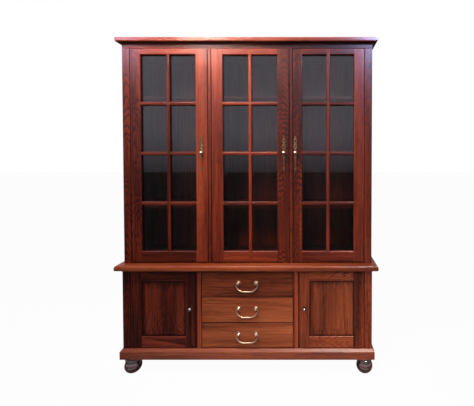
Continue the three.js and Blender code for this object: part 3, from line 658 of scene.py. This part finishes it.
# %% Cornice, waist and plinth
# Each moulding: its look, its polish, and the finishes with its kind of coat.
MOULDINGS = {
    "cornice": ((0.1, -0.03, 0.06), 0.4, woods),
    "waist_top": ((0.6, 0.13, 0.07), 0.16, woods),
    "plinth": ((0.6, 0.12, 0.07), 0.6, worn_woods),
}
SIDEWAYS = 0.05
SOFFIT_SHADE = 0.42


def moulding(node, look, polish, finishes):
    numbers = {run: dice.random() for run in RUNS}
    heart = middle_of(node)

    def board_of(face):
        run = "deep" if abs(face.normal.x) > max(abs(face.normal.y), SIDEWAYS) else "across"
        # Faces that look down get painted shade.
        shade = SOFFIT_SHADE if face.normal.z < -FACING else 0
        return numbers[run], run, darker(look, shade), heart

    wooden(node, merged_copy(node), board_of, polish, finishes=finishes)


for node, row in MOULDINGS.items():
    moulding(node, *row)
print("Mouldings:", len(MOULDINGS))

# %% [markdown]
# ## Sides with corner posts
#
# Each side is a wide board behind a narrow corner post. The joint shows on the side of the case
# as a fine line between two patterns. The post's face towards the door lies in the gap, and its
# shade is painted in as a darker look.

# %% Upper and lower sides
UPPER_POST, BASE_POST = 0.0277, 0.0257
# Each side: its look, and how deep its corner post is.
SIDES = {
    "upper_side_left": ((0.0, -0.18, 0.24), UPPER_POST),
    "upper_side_right": ((0.1, -0.03, 0.14), UPPER_POST),
    "base_side_left": ((0.0, -0.24, 0.14), BASE_POST),
    "base_side_right": ((0.3, -0.03, 0.12), BASE_POST),
}


def side(node, look, depth):
    shape = merged_copy(node)
    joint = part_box(node)[0].y + depth
    cut_at(shape, "y", [joint])
    post, board = dice.random(), dice.random()
    middle = middle_of(node)
    post_heart = Vector((middle.x, joint - depth / 2, 0))

    def board_of(face):
        if face.calc_center_median().y > joint:
            return board, "up", look, middle
        # The post's face in the gap gets painted shade.
        in_gap = face.normal.x * middle.x < 0 and faces_sideways(face)
        shade = GAP_SHADE if in_gap else 0
        return post, "up", darker(look, shade), post_heart

    wooden(node, shape, board_of)


for node, row in SIDES.items():
    side(node, *row)
print("Sides:", len(SIDES))

# %% [markdown]
# ## Framed doors
#
# A door is not one board either. Its stiles stand the full height and its rails lie between them,
# so the grain turns at each joint. The glass doors have a thin upright bar and three across. The
# rails change evenly from the lowest to the highest, lighter upwards or darker: a painted falloff of
# the light down the door. Faces that look into an opening or a gap get painted shade, all but the
# tops of the rails of the glass doors, and so does a narrow band where a cupboard door meets its
# partition.

# %% Stiles, rails and bars
GLAZING_BAR = 0.021
TOP_RAIL, BOTTOM_RAIL = 0.036, 0.065
# The places of a door's members in its list of board numbers.
LEFT_STILE, RIGHT_STILE, UPRIGHT_BAR, FIRST_RAIL, LAST_RAIL = 0, 1, 2, 3, 7
# Each door: how wide its two stiles are, the looks of the left stile, the right stile and the
# rails, how much lighter each rail is than the one below it as a painted falloff of light, and how
# wide its two bands of painted shade are.
DOORS = {
    "glass_door_frame_left": (
        (0.062, 0.072), (0.0, -0.1, 0.18), (0.1, 0.02, 0.09), (0.1, -0.12, 0.04), 0.025, (0, 0),
    ),
    "glass_door_frame_middle": (
        (0.069, 0.072), (0.05, -0.01, 0.08), (0.15, -0.2, 0.38), (0.1, 0.0, 0.04), 0.06, (0, 0),
    ),
    "glass_door_frame_right": (
        (0.056, 0.062), (0.15, -0.16, 0.3), (0.05, -0.04, 0.1), (0.1, -0.12, 0.04), 0.015, (0, 0),
    ),
    "cupboard_frame_left": (
        (0.066, 0.066), (0.0, -0.28, 0.1), (0.0, -0.2, 0.1), (0.0, -0.16, 0.1), -0.06, (0, 0.006),
    ),
    "cupboard_frame_right": (
        (0.066, 0.066), (0.6, -0.02, 0.08), (0.4, -0.07, 0.15), (0.6, 0.0, 0.3), -0.01, (0.009, 0),
    ),
}
# Painted shade on faces off the front: their sides, and the tops of cupboard rails.
SIDE_SHADE, LEDGE_SHADE = 0.22, 0.16


def member_look(look, face, ledge_shade):
    if faces_front(face):
        return look
    return darker(look, ledge_shade if face.normal.z > FACING else SIDE_SHADE)


def framed_door(node, stiles, left_look, right_look, rail_look, rise, bands):
    low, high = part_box(node)
    joints = [low.x + stiles[0], high.x - stiles[1]]
    glazed = node.startswith("glass")
    middle = sum(joints) / 2
    bar = GLAZING_BAR / 2
    depth = (low.y + high.y) / 2
    unshaded_span = (low.x + bands[0], high.x - bands[1])
    shape = merged_copy(node)
    cut_at(shape, "x", joints + ([middle - bar, middle + bar] if glazed else []))
    cut_at(shape, "x", [place for place in unshaded_span if low.x + WELD < place < high.x - WELD])
    numbers = [dice.random() for _ in range(LAST_RAIL + 1)]
    rails = LAST_RAIL - FIRST_RAIL
    ledge_shade = 0 if glazed else LEDGE_SHADE

    def board_of(face):
        centre = face.calc_center_median()
        # A band of painted shade where a cupboard door meets its partition.
        edge_shade = EDGE_SHADE if faces_front(face) and not unshaded_span[0] < centre.x < unshaded_span[1] else 0
        if centre.x < joints[0]:
            heart = Vector((low.x + stiles[0] / 2, depth, 0))
            look = member_look(left_look, face, ledge_shade)
            return numbers[LEFT_STILE], "up", darker(look, edge_shade), heart
        if centre.x > joints[1]:
            heart = Vector((high.x - stiles[1] / 2, depth, 0))
            look = member_look(right_look, face, ledge_shade)
            return numbers[RIGHT_STILE], "up", darker(look, edge_shade), heart
        look = member_look(rail_look, face, ledge_shade)
        between_rails = low.z + BOTTOM_RAIL < centre.z < high.z - TOP_RAIL
        if glazed and abs(centre.x - middle) < bar and between_rails:
            return numbers[UPRIGHT_BAR], "up", look, Vector((middle, depth, 0))
        rail = round((centre.z - low.z) / (high.z - low.z) * rails)
        heart = Vector((0, depth, low.z + (high.z - low.z) * rail / rails))
        # Rails lighter upwards or darker: a painted falloff of the light down the door.
        look = darker(look, (rails / 2 - rail) * rise)
        return numbers[FIRST_RAIL + rail], "across", look, heart

    wooden(node, shape, board_of)


for node, row in DOORS.items():
    framed_door(node, *row)
print("Framed doors:", len(DOORS))

# %% [markdown]
# ## Turned parts
#
# Feet, knobs and pull posts come off a lathe. In the script the lathe is the spin operator: a
# profile of a few points is turned once round an axis, its doubles are merged, and its faces are
# made to look outwards.

# %% The lathe
TURN_STEPS, SMALL_TURN_STEPS = 48, 32
SHARP = math.radians(32)


def arc(centre, radii, start, end, steps):
    """Points of an ellipse as pairs, from one angle to another in degrees."""
    angles = [math.radians(start + (end - start) * step / steps) for step in range(steps + 1)]
    return [(centre[0] + radii[0] * math.cos(a), centre[1] + radii[1] * math.sin(a)) for a in angles]


def turned(shape, profile, steps):
    """Adds a turned solid about the Z axis. The profile runs from axis to axis."""
    points = [shape.verts.new((radius, 0, height)) for radius, height in profile]
    edges = [shape.edges.new(pair) for pair in zip(points, points[1:])]
    before = set(shape.verts) - set(points)
    bmesh.ops.spin(
        shape, geom=points + edges, cent=(0, 0, 0), axis=(0, 0, 1), angle=math.tau, steps=steps,
        use_merge=True, use_normal_flip=False, use_duplicate=False,
    )
    made = [vert for vert in shape.verts if vert not in before]
    bmesh.ops.remove_doubles(shape, verts=made, dist=WELD)
    return [vert for vert in shape.verts if vert not in before]


def finished(shape):
    """Outward faces, and sharp edges where the surface really turns."""
    bmesh.ops.recalc_face_normals(shape, faces=shape.faces)
    for edge in shape.edges:
        edge.smooth = edge.calc_face_angle(0) < SHARP
    return shape


# %% [markdown]
# ### Bun feet
#
# A foot is a squashed ball on a small flat, a groove, a round ring and a disc under the plinth.

# %% Turn the feet
FOOT_TOP = 0.0997
BALL_RADIUS, BALL_WIDEST, BALL_FLAT = 0.0495, 0.038, 0.027
GROOVE_RADIUS, GROOVE_HEIGHT = 0.041, 0.063
RING_CORE, RING_ROUND, RING_HEIGHT, RING_TURN = 0.035, 0.01, 0.076, 55
DISC_RADIUS, DISC_HEIGHT, DISC_EASE = 0.043, 0.012, 0.0012
LOW_BALL_STEPS, HIGH_BALL_STEPS, RING_STEPS = 12, 10, 10


def foot_profile():
    lower = math.acos(BALL_FLAT / BALL_RADIUS)
    upper = math.acos(GROOVE_RADIUS / BALL_RADIUS)
    centre = (0, BALL_WIDEST)
    lower_rise = BALL_WIDEST / math.sin(lower)
    upper_rise = (GROOVE_HEIGHT - BALL_WIDEST) / math.sin(upper)
    low_ball = arc(centre, (BALL_RADIUS, lower_rise), -math.degrees(lower), 0, LOW_BALL_STEPS)
    high_ball = arc(centre, (BALL_RADIUS, upper_rise), 0, math.degrees(upper), HIGH_BALL_STEPS)
    ring_centre, ring_radii = (RING_CORE, RING_HEIGHT), (RING_ROUND, RING_ROUND)
    ring = arc(ring_centre, ring_radii, -RING_TURN, RING_TURN, RING_STEPS)
    disc_low = FOOT_TOP - DISC_HEIGHT
    disc = [
        (DISC_RADIUS - DISC_EASE, disc_low),
        (DISC_RADIUS, disc_low + DISC_EASE),
        (DISC_RADIUS, FOOT_TOP - DISC_EASE),
        (DISC_RADIUS - DISC_EASE, FOOT_TOP),
    ]
    return [(0, 0), *low_ball, *high_ball[1:], *ring, *disc, (0, FOOT_TOP)]


feet = [node for node in nodes if node.startswith("foot_")]
for node in feet:
    low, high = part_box(node)
    foot = bmesh.new()
    turned(foot, foot_profile(), TURN_STEPS)
    bmesh.ops.translate(foot, verts=foot.verts, vec=((low.x + high.x) / 2, (low.y + high.y) / 2, 0))
    piece(node + "_turned", finished(foot), [foot_finish], node)
print("Feet:", len(feet))

# %% [markdown]
# ### Knobs on the cupboard doors
#
# Each knob is a ball on a neck over a round rose that has turned black. The ball is of pale brass
# on the left door, which also stands for a painted highlight, and dark on the right one. Its crown is
# pale brass, a painted highlight. The left rose has a small brass drop hanging below it.

# %% Turn the cupboard knobs
KNOB_RADIUS, KNOB_LENGTH, KNOB_NECK = 0.010, 0.022, 0.0045
ROSE_RADIUS, ROSE_THICK = 0.011, 0.0025
TALLER_THAN_ROSE = 3 * ROSE_RADIUS
DROP_LENGTH, DROP_WIDE = 0.026, 0.009
BALL_START, CROWN = 0.0045, 0.0022
DOME_SHARE, DOME_STEPS = 0.8, 14
FACE_GAP = 0.0003
ROUND_SEGMENTS = 24
# The places of a knob's finishes: its rose, its ball, the crown of the ball with its painted
# highlight, and the drop.
ROSE_FINISH, BALL_FINISH, CROWN_HIGHLIGHT_FINISH, DROP_FINISH = range(4)


def outwards(shape, verts, place):
    """Turns what was made upright so that it stands out of the front, at a place on the face."""
    turn = Matrix.Rotation(math.pi / 2, 4, "X")
    bmesh.ops.transform(shape, matrix=Matrix.Translation(place) @ turn, verts=verts)


def knob_head(radius, length, neck):
    rise = radius * DOME_SHARE
    start = math.degrees(math.acos(neck / radius))
    return arc((0, length - rise), (radius, rise), -start, 90, DOME_STEPS)


def finish_on_knob(out, on_drop):
    if on_drop:
        return DROP_FINISH
    # The crown takes pale brass, a painted highlight.
    if out > KNOB_LENGTH - CROWN:
        return CROWN_HIGHLIGHT_FINISH
    return BALL_FINISH if out > BALL_START else ROSE_FINISH


def cupboard_knob(node, ball_finish):
    low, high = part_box(node)
    face = low.y + KNOB_LENGTH
    place = Vector(((low.x + high.x) / 2, face, high.z - ROSE_RADIUS))
    shape = bmesh.new()
    rose = [
        (0, FACE_GAP),
        (ROSE_RADIUS, FACE_GAP),
        (ROSE_RADIUS, ROSE_THICK / 2),
        (ROSE_RADIUS - ROSE_THICK / 2, ROSE_THICK),
        (KNOB_NECK + ROSE_THICK / 2, ROSE_THICK),
        (KNOB_NECK, ROSE_THICK * 1.5),
    ]
    knob = rose + knob_head(KNOB_RADIUS, KNOB_LENGTH, KNOB_NECK)
    outwards(shape, turned(shape, knob, SMALL_TURN_STEPS), place)
    if high.z - low.z > TALLER_THAN_ROSE:
        disc = {"cap_ends": True, "segments": ROUND_SEGMENTS, "radius": DROP_WIDE / 2}
        drop = bmesh.ops.create_circle(shape, **disc)["verts"]
        bmesh.ops.scale(shape, vec=(1, 2 * DROP_LENGTH / DROP_WIDE, 1), verts=drop)
        grown = bmesh.ops.extrude_face_region(shape, geom=drop[0].link_faces[:])["geom"]
        top = [item for item in grown if isinstance(item, bmesh.types.BMVert)]
        bmesh.ops.translate(shape, verts=top, vec=(0, 0, ROSE_THICK / 2))
        outwards(shape, drop + top, place + Vector((0, -FACE_GAP, 0)))
    for facet in finished(shape).faces:
        centre = facet.calc_center_median()
        on_drop = centre.z < place.z - ROSE_RADIUS
        facet.material_index = finish_on_knob(face - centre.y, on_drop)
    finishes = [rose_finish, ball_finish, pale_finish, brass_finish]
    piece(node + "_turned", shape, finishes, node)


knob_balls = {"cupboard_knob_left": pale_finish, "cupboard_knob_right": dark_finish}
for node, ball_finish in knob_balls.items():
    cupboard_knob(node, ball_finish)
print("Knobs:", len(knob_balls))

# %% [markdown]
# ### Drawer pulls
#
# A pull has two posts with rosettes, and a bail that swings in eyes drilled through their heads.
# The post is turned, and the eye is cut by a Boolean modifier whose result is kept as a mesh. The
# bail is copied from the frame, fattened a little and subdivided, which makes its rod round.

# %% Turn and drill a post
ROSETTE_RADIUS, ROSETTE_THICK = 0.014, 0.003
POST_NECK, POST_HEAD, POST_REACH = 0.005, 0.008, 0.017
EYE_RADIUS, DRILL_LENGTH = 0.0033, 0.032


def drilled(solid, drill):
    """The mesh of one shape with another cut out of it."""
    objects = []
    for shape in (solid, drill):
        mesh = bpy.data.meshes.new("blank")
        shape.to_mesh(mesh)
        shape.free()
        objects.append(bpy.data.objects.new("blank", mesh))
        bpy.context.scene.collection.objects.link(objects[-1])
    cut = objects[0].modifiers.new("eye", "BOOLEAN")
    cut.operation = "DIFFERENCE"
    cut.object = objects[1]
    seen = objects[0].evaluated_get(bpy.context.evaluated_depsgraph_get())
    result = bmesh.new()
    result.from_mesh(seen.to_mesh())
    seen.to_mesh_clear()
    for made in objects:
        bpy.data.meshes.remove(made.data)
    return result


def post_shape():
    shape = bmesh.new()
    start = math.degrees(math.acos(POST_NECK / POST_HEAD))
    profile = [
        (0, FACE_GAP),
        (ROSETTE_RADIUS, FACE_GAP),
        (ROSETTE_RADIUS, ROSETTE_THICK / 2),
        (ROSETTE_RADIUS - ROSETTE_THICK, ROSETTE_THICK),
        (POST_NECK + ROSETTE_THICK, ROSETTE_THICK),
        (POST_NECK, 2 * ROSETTE_THICK),
        *arc((0, POST_REACH), (POST_HEAD, POST_HEAD), -start, 90, DOME_STEPS),
    ]
    outwards(shape, turned(shape, profile, SMALL_TURN_STEPS), Vector((0, 0, 0)))
    bmesh.ops.recalc_face_normals(shape, faces=shape.faces)
    drill = bmesh.new()
    bmesh.ops.create_cone(
        drill, cap_ends=True, segments=ROUND_SEGMENTS,
        radius1=EYE_RADIUS, radius2=EYE_RADIUS, depth=DRILL_LENGTH,
        matrix=Matrix.Translation((0, -POST_REACH, 0)) @ Matrix.Rotation(math.pi / 2, 4, "Y"),
    )
    return drilled(shape, drill)


post = post_shape()
posts = [node for node in nodes if node.startswith("pull_post_")]
for node in posts:
    low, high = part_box(node)
    face = low.y + POST_REACH + POST_HEAD
    place = ((low.x + high.x) / 2, face, (low.z + high.z) / 2)
    placed = post.copy()
    bmesh.ops.translate(placed, verts=placed.verts, vec=place)
    piece(node + "_turned", finished(placed), [brass_finish], node)
post.free()
print("Pull posts:", len(posts))

# %% Round the bails
BAIL_FATTEN = 0.00035
BAIL_LEVELS = 2

bails = [node for node in nodes if node.startswith("pull_bail_")]
for node in bails:
    rod = bmesh.new()
    rod.from_mesh(nodes[node].data)
    bmesh.ops.remove_doubles(rod, verts=rod.verts, dist=WELD)
    rod.normal_update()
    moves = [(vert, vert.normal * BAIL_FATTEN) for vert in rod.verts]
    for vert, move in moves:
        bmesh.ops.translate(rod, verts=[vert], vec=move)
    made = piece(node + "_round", rod, [brass_finish], node)
    smooth = made.modifiers.new("round rod", "SUBSURF")
    smooth.levels = smooth.render_levels = BAIL_LEVELS
print("Bails:", len(bails))

# %% [markdown]
# ## Handle plates
#
# Each glass door has a long brass plate. It is cut from sheet: a thin tail with a small leaf at its
# end, a boss for the knob, a pierced eye for the key and a pierced loop under the finial. The
# outline and the two openings are drawn as closed loops, filled flat, and given a thickness. Round
# rims and small beads are laid on top, and the knob is turned.

# %% The plate's outline
PLATE_LENGTH, PLATE_WIDE, PLATE_THICK = 0.213, 0.025, 0.0022
PLATE_KNOB_RADIUS, PLATE_KNOB_LENGTH, PLATE_KNOB_UP = 0.011, 0.024, 0.110
# The right half of the outline: shares of the length going up, and of the half width going out.
PLATE_SHARES = [
    (0, 0), (0.008, 0.2), (0.02, 0.36), (0.04, 0.47), (0.062, 0.53), (0.08, 0.5), (0.1, 0.34),
    (0.125, 0.24), (0.18, 0.21), (0.24, 0.22), (0.3, 0.27), (0.33, 0.36), (0.36, 0.5), (0.39, 0.58),
    (0.42, 0.55), (0.45, 0.42), (0.468, 0.5), (0.488, 0.72), (0.51, 0.88), (0.53, 0.93),
    (0.552, 0.86), (0.575, 0.68), (0.59, 0.5), (0.605, 0.46), (0.625, 0.66), (0.65, 0.88),
    (0.685, 1), (0.72, 0.93), (0.75, 0.74), (0.77, 0.5), (0.785, 0.44), (0.805, 0.6), (0.83, 0.8),
    (0.858, 0.87), (0.885, 0.8), (0.91, 0.62), (0.93, 0.38), (0.945, 0.3), (0.96, 0.4),
    (0.975, 0.43), (0.988, 0.32), (1, 0),
]
KNOB_START = 0.007
KEY_EYE, KEY_EYE_RADII = 0.146, (0.0052, 0.0052)
LOOP_EYE, LOOP_EYE_RADII = 0.1825, (0.0052, 0.0075)
# Each rim is its height, its two radii and the thickness of its wire.
RIMS = [(KEY_EYE, (0.0088, 0.0092), 0.0021), (LOOP_EYE, (0.0078, 0.0104), 0.0018)]
WIRE_SIDES, RIM_STEPS = 10, 32
# Each bead is its share of the height and its radius.
BEADS = [(0.958, 0.0034), (0.605, 0.0032), (0.4, 0.0042), (0.45, 0.003), (0.062, 0.0038)]
BEAD_SIDES, BEAD_RINGS = 16, 10
RELIEF = 0.7
BOSS = [(0, 0), (0.0098, 0), (0.0098, 0.0028), (0.0078, 0.0042), (0.0055, 0.0048)]


def closed_loop(shape, points):
    verts = [shape.verts.new((x, y, 0)) for x, y in points]
    return [shape.edges.new(pair) for pair in zip(verts, verts[1:] + verts[:1])]


def oval(height, radii):
    """Points once round an oval on the plate's middle line."""
    step = 360 / ROUND_SEGMENTS
    return arc((0, height), radii, 0, 360 - step, ROUND_SEGMENTS - 1)


def laid_on(shape, made, height, stretch, place):
    """Flattens what was made at the origin, and lays it on the plate at a height."""
    bmesh.ops.scale(shape, vec=(1, stretch, RELIEF), verts=made)
    bmesh.ops.translate(shape, verts=made, vec=(0, height, PLATE_THICK))
    outwards(shape, made, place)


def rim(shape, height, radii, thick, place):
    """A round wire laid on the plate as an oval: a small circle spun once, then drawn to shape."""
    wire = bmesh.ops.create_circle(shape, cap_ends=False, segments=WIRE_SIDES, radius=thick)["verts"]
    before = set(shape.verts) - set(wire)
    stand = Matrix.Translation((radii[0], 0, 0)) @ Matrix.Rotation(math.pi / 2, 4, "X")
    bmesh.ops.transform(shape, matrix=stand, verts=wire)
    edges = {edge for vert in wire for edge in vert.link_edges}
    bmesh.ops.spin(
        shape, geom=wire + list(edges), cent=(0, 0, 0), axis=(0, 0, 1), angle=math.tau, steps=RIM_STEPS,
        use_merge=True, use_normal_flip=False, use_duplicate=False,
    )
    made = [vert for vert in shape.verts if vert not in before]
    laid_on(shape, made, height, radii[1] / radii[0], place)


def bead(shape, height, radius, place):
    before = set(shape.verts)
    bmesh.ops.create_uvsphere(shape, u_segments=BEAD_SIDES, v_segments=BEAD_RINGS, radius=radius)
    made = [vert for vert in shape.verts if vert not in before]
    laid_on(shape, made, height, 1, place)


# %% Cut the sheet and dress it
def plate_sheet(shape, place):
    half = [(PLATE_WIDE / 2 * out, PLATE_LENGTH * up) for up, out in PLATE_SHARES]
    outline = half + [(-x, y) for x, y in half[-2:0:-1]]
    edges = closed_loop(shape, outline)
    edges += closed_loop(shape, oval(KEY_EYE, KEY_EYE_RADII))
    edges += closed_loop(shape, oval(LOOP_EYE, LOOP_EYE_RADII))
    filled = bmesh.ops.triangle_fill(shape, use_beauty=True, use_dissolve=False, edges=edges)["geom"]
    flat = [item for item in filled if isinstance(item, bmesh.types.BMFace)]
    grown = bmesh.ops.extrude_face_region(shape, geom=flat)["geom"]
    top = [item for item in grown if isinstance(item, bmesh.types.BMVert)]
    bmesh.ops.translate(shape, verts=top, vec=(0, 0, PLATE_THICK))
    outwards(shape, shape.verts[:], place)


def door_handle(node):
    low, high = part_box(node)
    face = low.y + PLATE_KNOB_LENGTH
    place = Vector(((low.x + high.x) / 2, face - FACE_GAP, low.z))
    shape = bmesh.new()
    plate_sheet(shape, place)
    for height, radii, thick in RIMS:
        rim(shape, height, radii, thick, place)
    for share, radius in BEADS:
        bead(shape, share * PLATE_LENGTH, radius, place)
    knob = BOSS + knob_head(PLATE_KNOB_RADIUS, PLATE_KNOB_LENGTH - FACE_GAP, KNOB_NECK)
    outwards(shape, turned(shape, knob, SMALL_TURN_STEPS), place + Vector((0, 0, PLATE_KNOB_UP)))
    for facet in finished(shape).faces:
        on_knob = facet.calc_center_median().y < face - KNOB_START
        facet.material_index = int(on_knob)
    piece(node + "_pierced", shape, [plate_finish, brass_finish], node)


handles = [node for node in nodes if node.startswith("door_handle_")]
for node in handles:
    door_handle(node)
print("Handle plates:", len(handles))

# %% [markdown]
# ## The panes
#
# Each door's glass is one sheet behind the bars. Its solid is already right, so it only gets the
# finish.

# %% Glaze the doors
for node, made in nodes.items():
    if node.startswith("glass_pane"):
        made.data.materials.clear()
        made.data.materials.append(glass_finish)

# %% [markdown]
# ## The studio
#
# A white floor and a white surround. The surround is white to the camera. To mirrors it darkens
# towards the floor, which keeps the lower panes clear. The floor is dark to mirrors too, except for
# a strip in front of the case that glows to mirrors only: a painted reflection that puts a highlight
# in the polished feet.

# %% The floor
FLOOR_SIZE = 60
FLOOR_DROP = 0.0005
FLOOR_GLOW = 0.97
FLOOR_MIRROR = (0.14, 0.13, 0.13)
FLOOR_WHITE = (0.88, 0.88, 0.88)
FLOOR_ROUGHNESS, FLOOR_SHINE = 0.75, 0.1
PURE_WHITE = (1, 1, 1, 1)
# The strip before the case that glows to mirrors, a painted reflection for the feet: its stops
# from front to back as y + 1, and half its width.
GLOW_STRIP_STOPS = [(0.66, (0, 0, 0)), (0.72, (1, 1, 1)), (0.765, (1, 1, 1)), (0.785, (0, 0, 0))]
GLOW_STRIP_HALF = 0.8


def white_floor():
    finish = Finish("white_floor")
    mirror_ray = finish.ray_is("Glossy")
    base = finish.colour_mix(mirror_ray, FLOOR_WHITE, FLOOR_MIRROR)
    finish.surface_is(Base_Color=base, Roughness=FLOOR_ROUGHNESS, Specular_IOR_Level=FLOOR_SHINE)
    glow = finish.node("ShaderNodeEmission", None, {"Color": PURE_WHITE, "Strength": 1.0})
    lit = Value(finish, finish.surface.outputs[0])
    place = finish.place()
    depth, sideways = finish.part(place, "Y"), finish.part(place, "X")
    between = finish.maths("LESS_THAN", sideways * sideways, GLOW_STRIP_HALF * GLOW_STRIP_HALF)
    # The strip glows to mirror rays only: a painted reflection in the feet.
    strip = finish.ramp(depth + 1, GLOW_STRIP_STOPS) * between
    share = finish.ray_is("Camera") + finish.ray_is("Transmission") + mirror_ray * strip
    finish.ends_in(finish.shader_mix(share * FLOOR_GLOW, lit, glow))
    return finish.material


floor_shape = bmesh.new()
bmesh.ops.create_grid(floor_shape, x_segments=1, y_segments=1, size=FLOOR_SIZE / 2)
floor_mesh = bpy.data.meshes.new("floor")
floor_shape.to_mesh(floor_mesh)
floor_shape.free()
floor_mesh.materials.append(white_floor())
floor = bpy.data.objects.new("floor", floor_mesh)
floor.location.z = -FLOOR_DROP
bpy.context.scene.collection.objects.link(floor)

# %% The surround
SOFT_COLOUR, SOFT_LIGHT = (1, 0.98, 0.97, 1), 0.11
# What mirrors see, from straight down to straight up.
MIRROR_STOPS = [
    (0.0, (0.03, 0.027, 0.027)),
    (0.46, (0.05, 0.045, 0.05)),
    (0.54, (0.76, 0.72, 0.8)),
    (0.8, (1.0, 0.95, 1.0)),
]


def surround():
    world = bpy.data.worlds.new("surround")
    world.use_nodes = True
    bpy.context.scene.world = world
    world.node_tree.nodes.clear()
    net = Net(world.node_tree)
    height = net.part(net.place("Generated"), "Z")
    mirrored = net.ramp(height * 0.5 + 0.5, MIRROR_STOPS)
    soft = net.node("ShaderNodeBackground", None, {"Color": SOFT_COLOUR, "Strength": SOFT_LIGHT})
    mirror = net.node("ShaderNodeBackground", None, {"Color": mirrored, "Strength": 1.0})
    white = net.node("ShaderNodeBackground", None, {"Color": PURE_WHITE, "Strength": 1.0})
    unseen = net.shader_mix(net.ray_is("Glossy"), soft, mirror)
    seen = net.shader_mix(net.ray_is("Camera") + net.ray_is("Transmission"), unseen, white)
    output = world.node_tree.nodes.new("ShaderNodeOutputWorld")
    world.node_tree.links.new(seen.socket, output.inputs["Surface"])


surround()

# %% [markdown]
# ### Lamps
#
# The key hangs in front of the cornice a little to the left, so that the light falls off down the
# doors. Weak fills open what it leaves too dark: the drawers and cupboards, the sides and the back.
# A sheen gives no light and is only mirrored in the polish: a cool one on the right posts, another
# on the left ones, and warm ones on the cornice and the slope of the plinth.

# %% The lamps
WARM, MILD = (1, 0.95, 0.92), (1, 0.98, 0.96)
CASE_MIDDLE, WIDE = (0, 0, 1.1), (1.2, 1.2)
# Each row: name, kind, place, what it looks at, size, watts, colour, and spread in degrees.
LAMPS = [
    ("key", "key", (-0.35, -0.9, 2.75), (-0.2, -0.15, 1.9), (0.8, 0.3), 44, (1, 0.96, 0.92), 180),
    ("low key", "fill", (-0.2, -1.7, 2.2), (0.35, -0.1, 0.2), (0.3, 0.3), 2.5, WARM, 50),
    ("low fill", "fill", (1.2, -1.9, 0.2), (0.6, 0, 0.15), (0.8, 0.3), 0.7, WARM, 50),
    ("right sheen", "sheen", (1.4, -2.3, 2.9), (0.75, -0.1, 2.05), (0.4, 0.3), 9, (0.45, 0.55, 1), 50),
    ("left sheen", "sheen", (-2.1, -2.3, 2.85), (-0.7, -0.1, 2), (0.4, 0.4), 2.2, (0.65, 0.65, 1), 50),
    ("middle sheen", "sheen", (-1, -2.4, 2.86), (-0.2, -0.2, 2), (0.5, 0.1), 3, (1, 0.9, 0.85), 50),
    ("plinth sheen", "sheen", (1.1, -1.75, 2.7), (0.6, -0.2, 0.15), (0.3, 0.3), 10, (1, 0.85, 0.75), 40),
    ("left fill", "fill", (-2.2, 0.6, 1.2), CASE_MIDDLE, WIDE, 4, MILD, 80),
    ("right fill", "fill", (2.2, 0.6, 1.2), CASE_MIDDLE, WIDE, 4, MILD, 80),
    ("back fill", "fill", (0, 2.6, 1.2), CASE_MIDDLE, WIDE, 12, MILD, 80),
]


def lamp(name, kind, place, target, size, power, colour, spread):
    data = bpy.data.lights.new(name, "AREA")
    data.shape = "RECTANGLE"
    data.size, data.size_y = size
    data.energy = power
    data.color = colour
    data.spread = math.radians(spread)
    made = bpy.data.objects.new(name, data)
    made.location = place
    made.rotation_euler = (Vector(target) - Vector(place)).to_track_quat("-Z", "Y").to_euler()
    made.visible_glossy = kind != "fill"
    made.visible_diffuse = kind != "sheen"
    bpy.context.scene.collection.objects.link(made)


for row in LAMPS:
    lamp(*row)
print("Lamps:", len(LAMPS))

# %% [markdown]
# ## The camera
#
# The view is close, a little right of the middle and at chest height, with a wide lens. The
# sensor is shifted so that the bookcase sits in the frame as in the photograph.

# %% Camera
EYE = (0.38286, -2.045, 1.31124)
TILT = math.radians(88.8)
LENS, SENSOR_WIDTH = 23.734, 36
SHIFT_ACROSS, SHIFT_UP = -0.155, -0.078

view = bpy.data.cameras.new("camera")
view.lens = LENS
view.sensor_width = SENSOR_WIDTH
view.shift_x = SHIFT_ACROSS
view.shift_y = SHIFT_UP
camera = bpy.data.objects.new("camera", view)
camera.location = EYE
camera.rotation_euler = (TILT, 0, 0)
bpy.context.scene.collection.objects.link(camera)
bpy.context.scene.camera = camera
bpy.context.scene.view_settings.view_transform = "Standard"
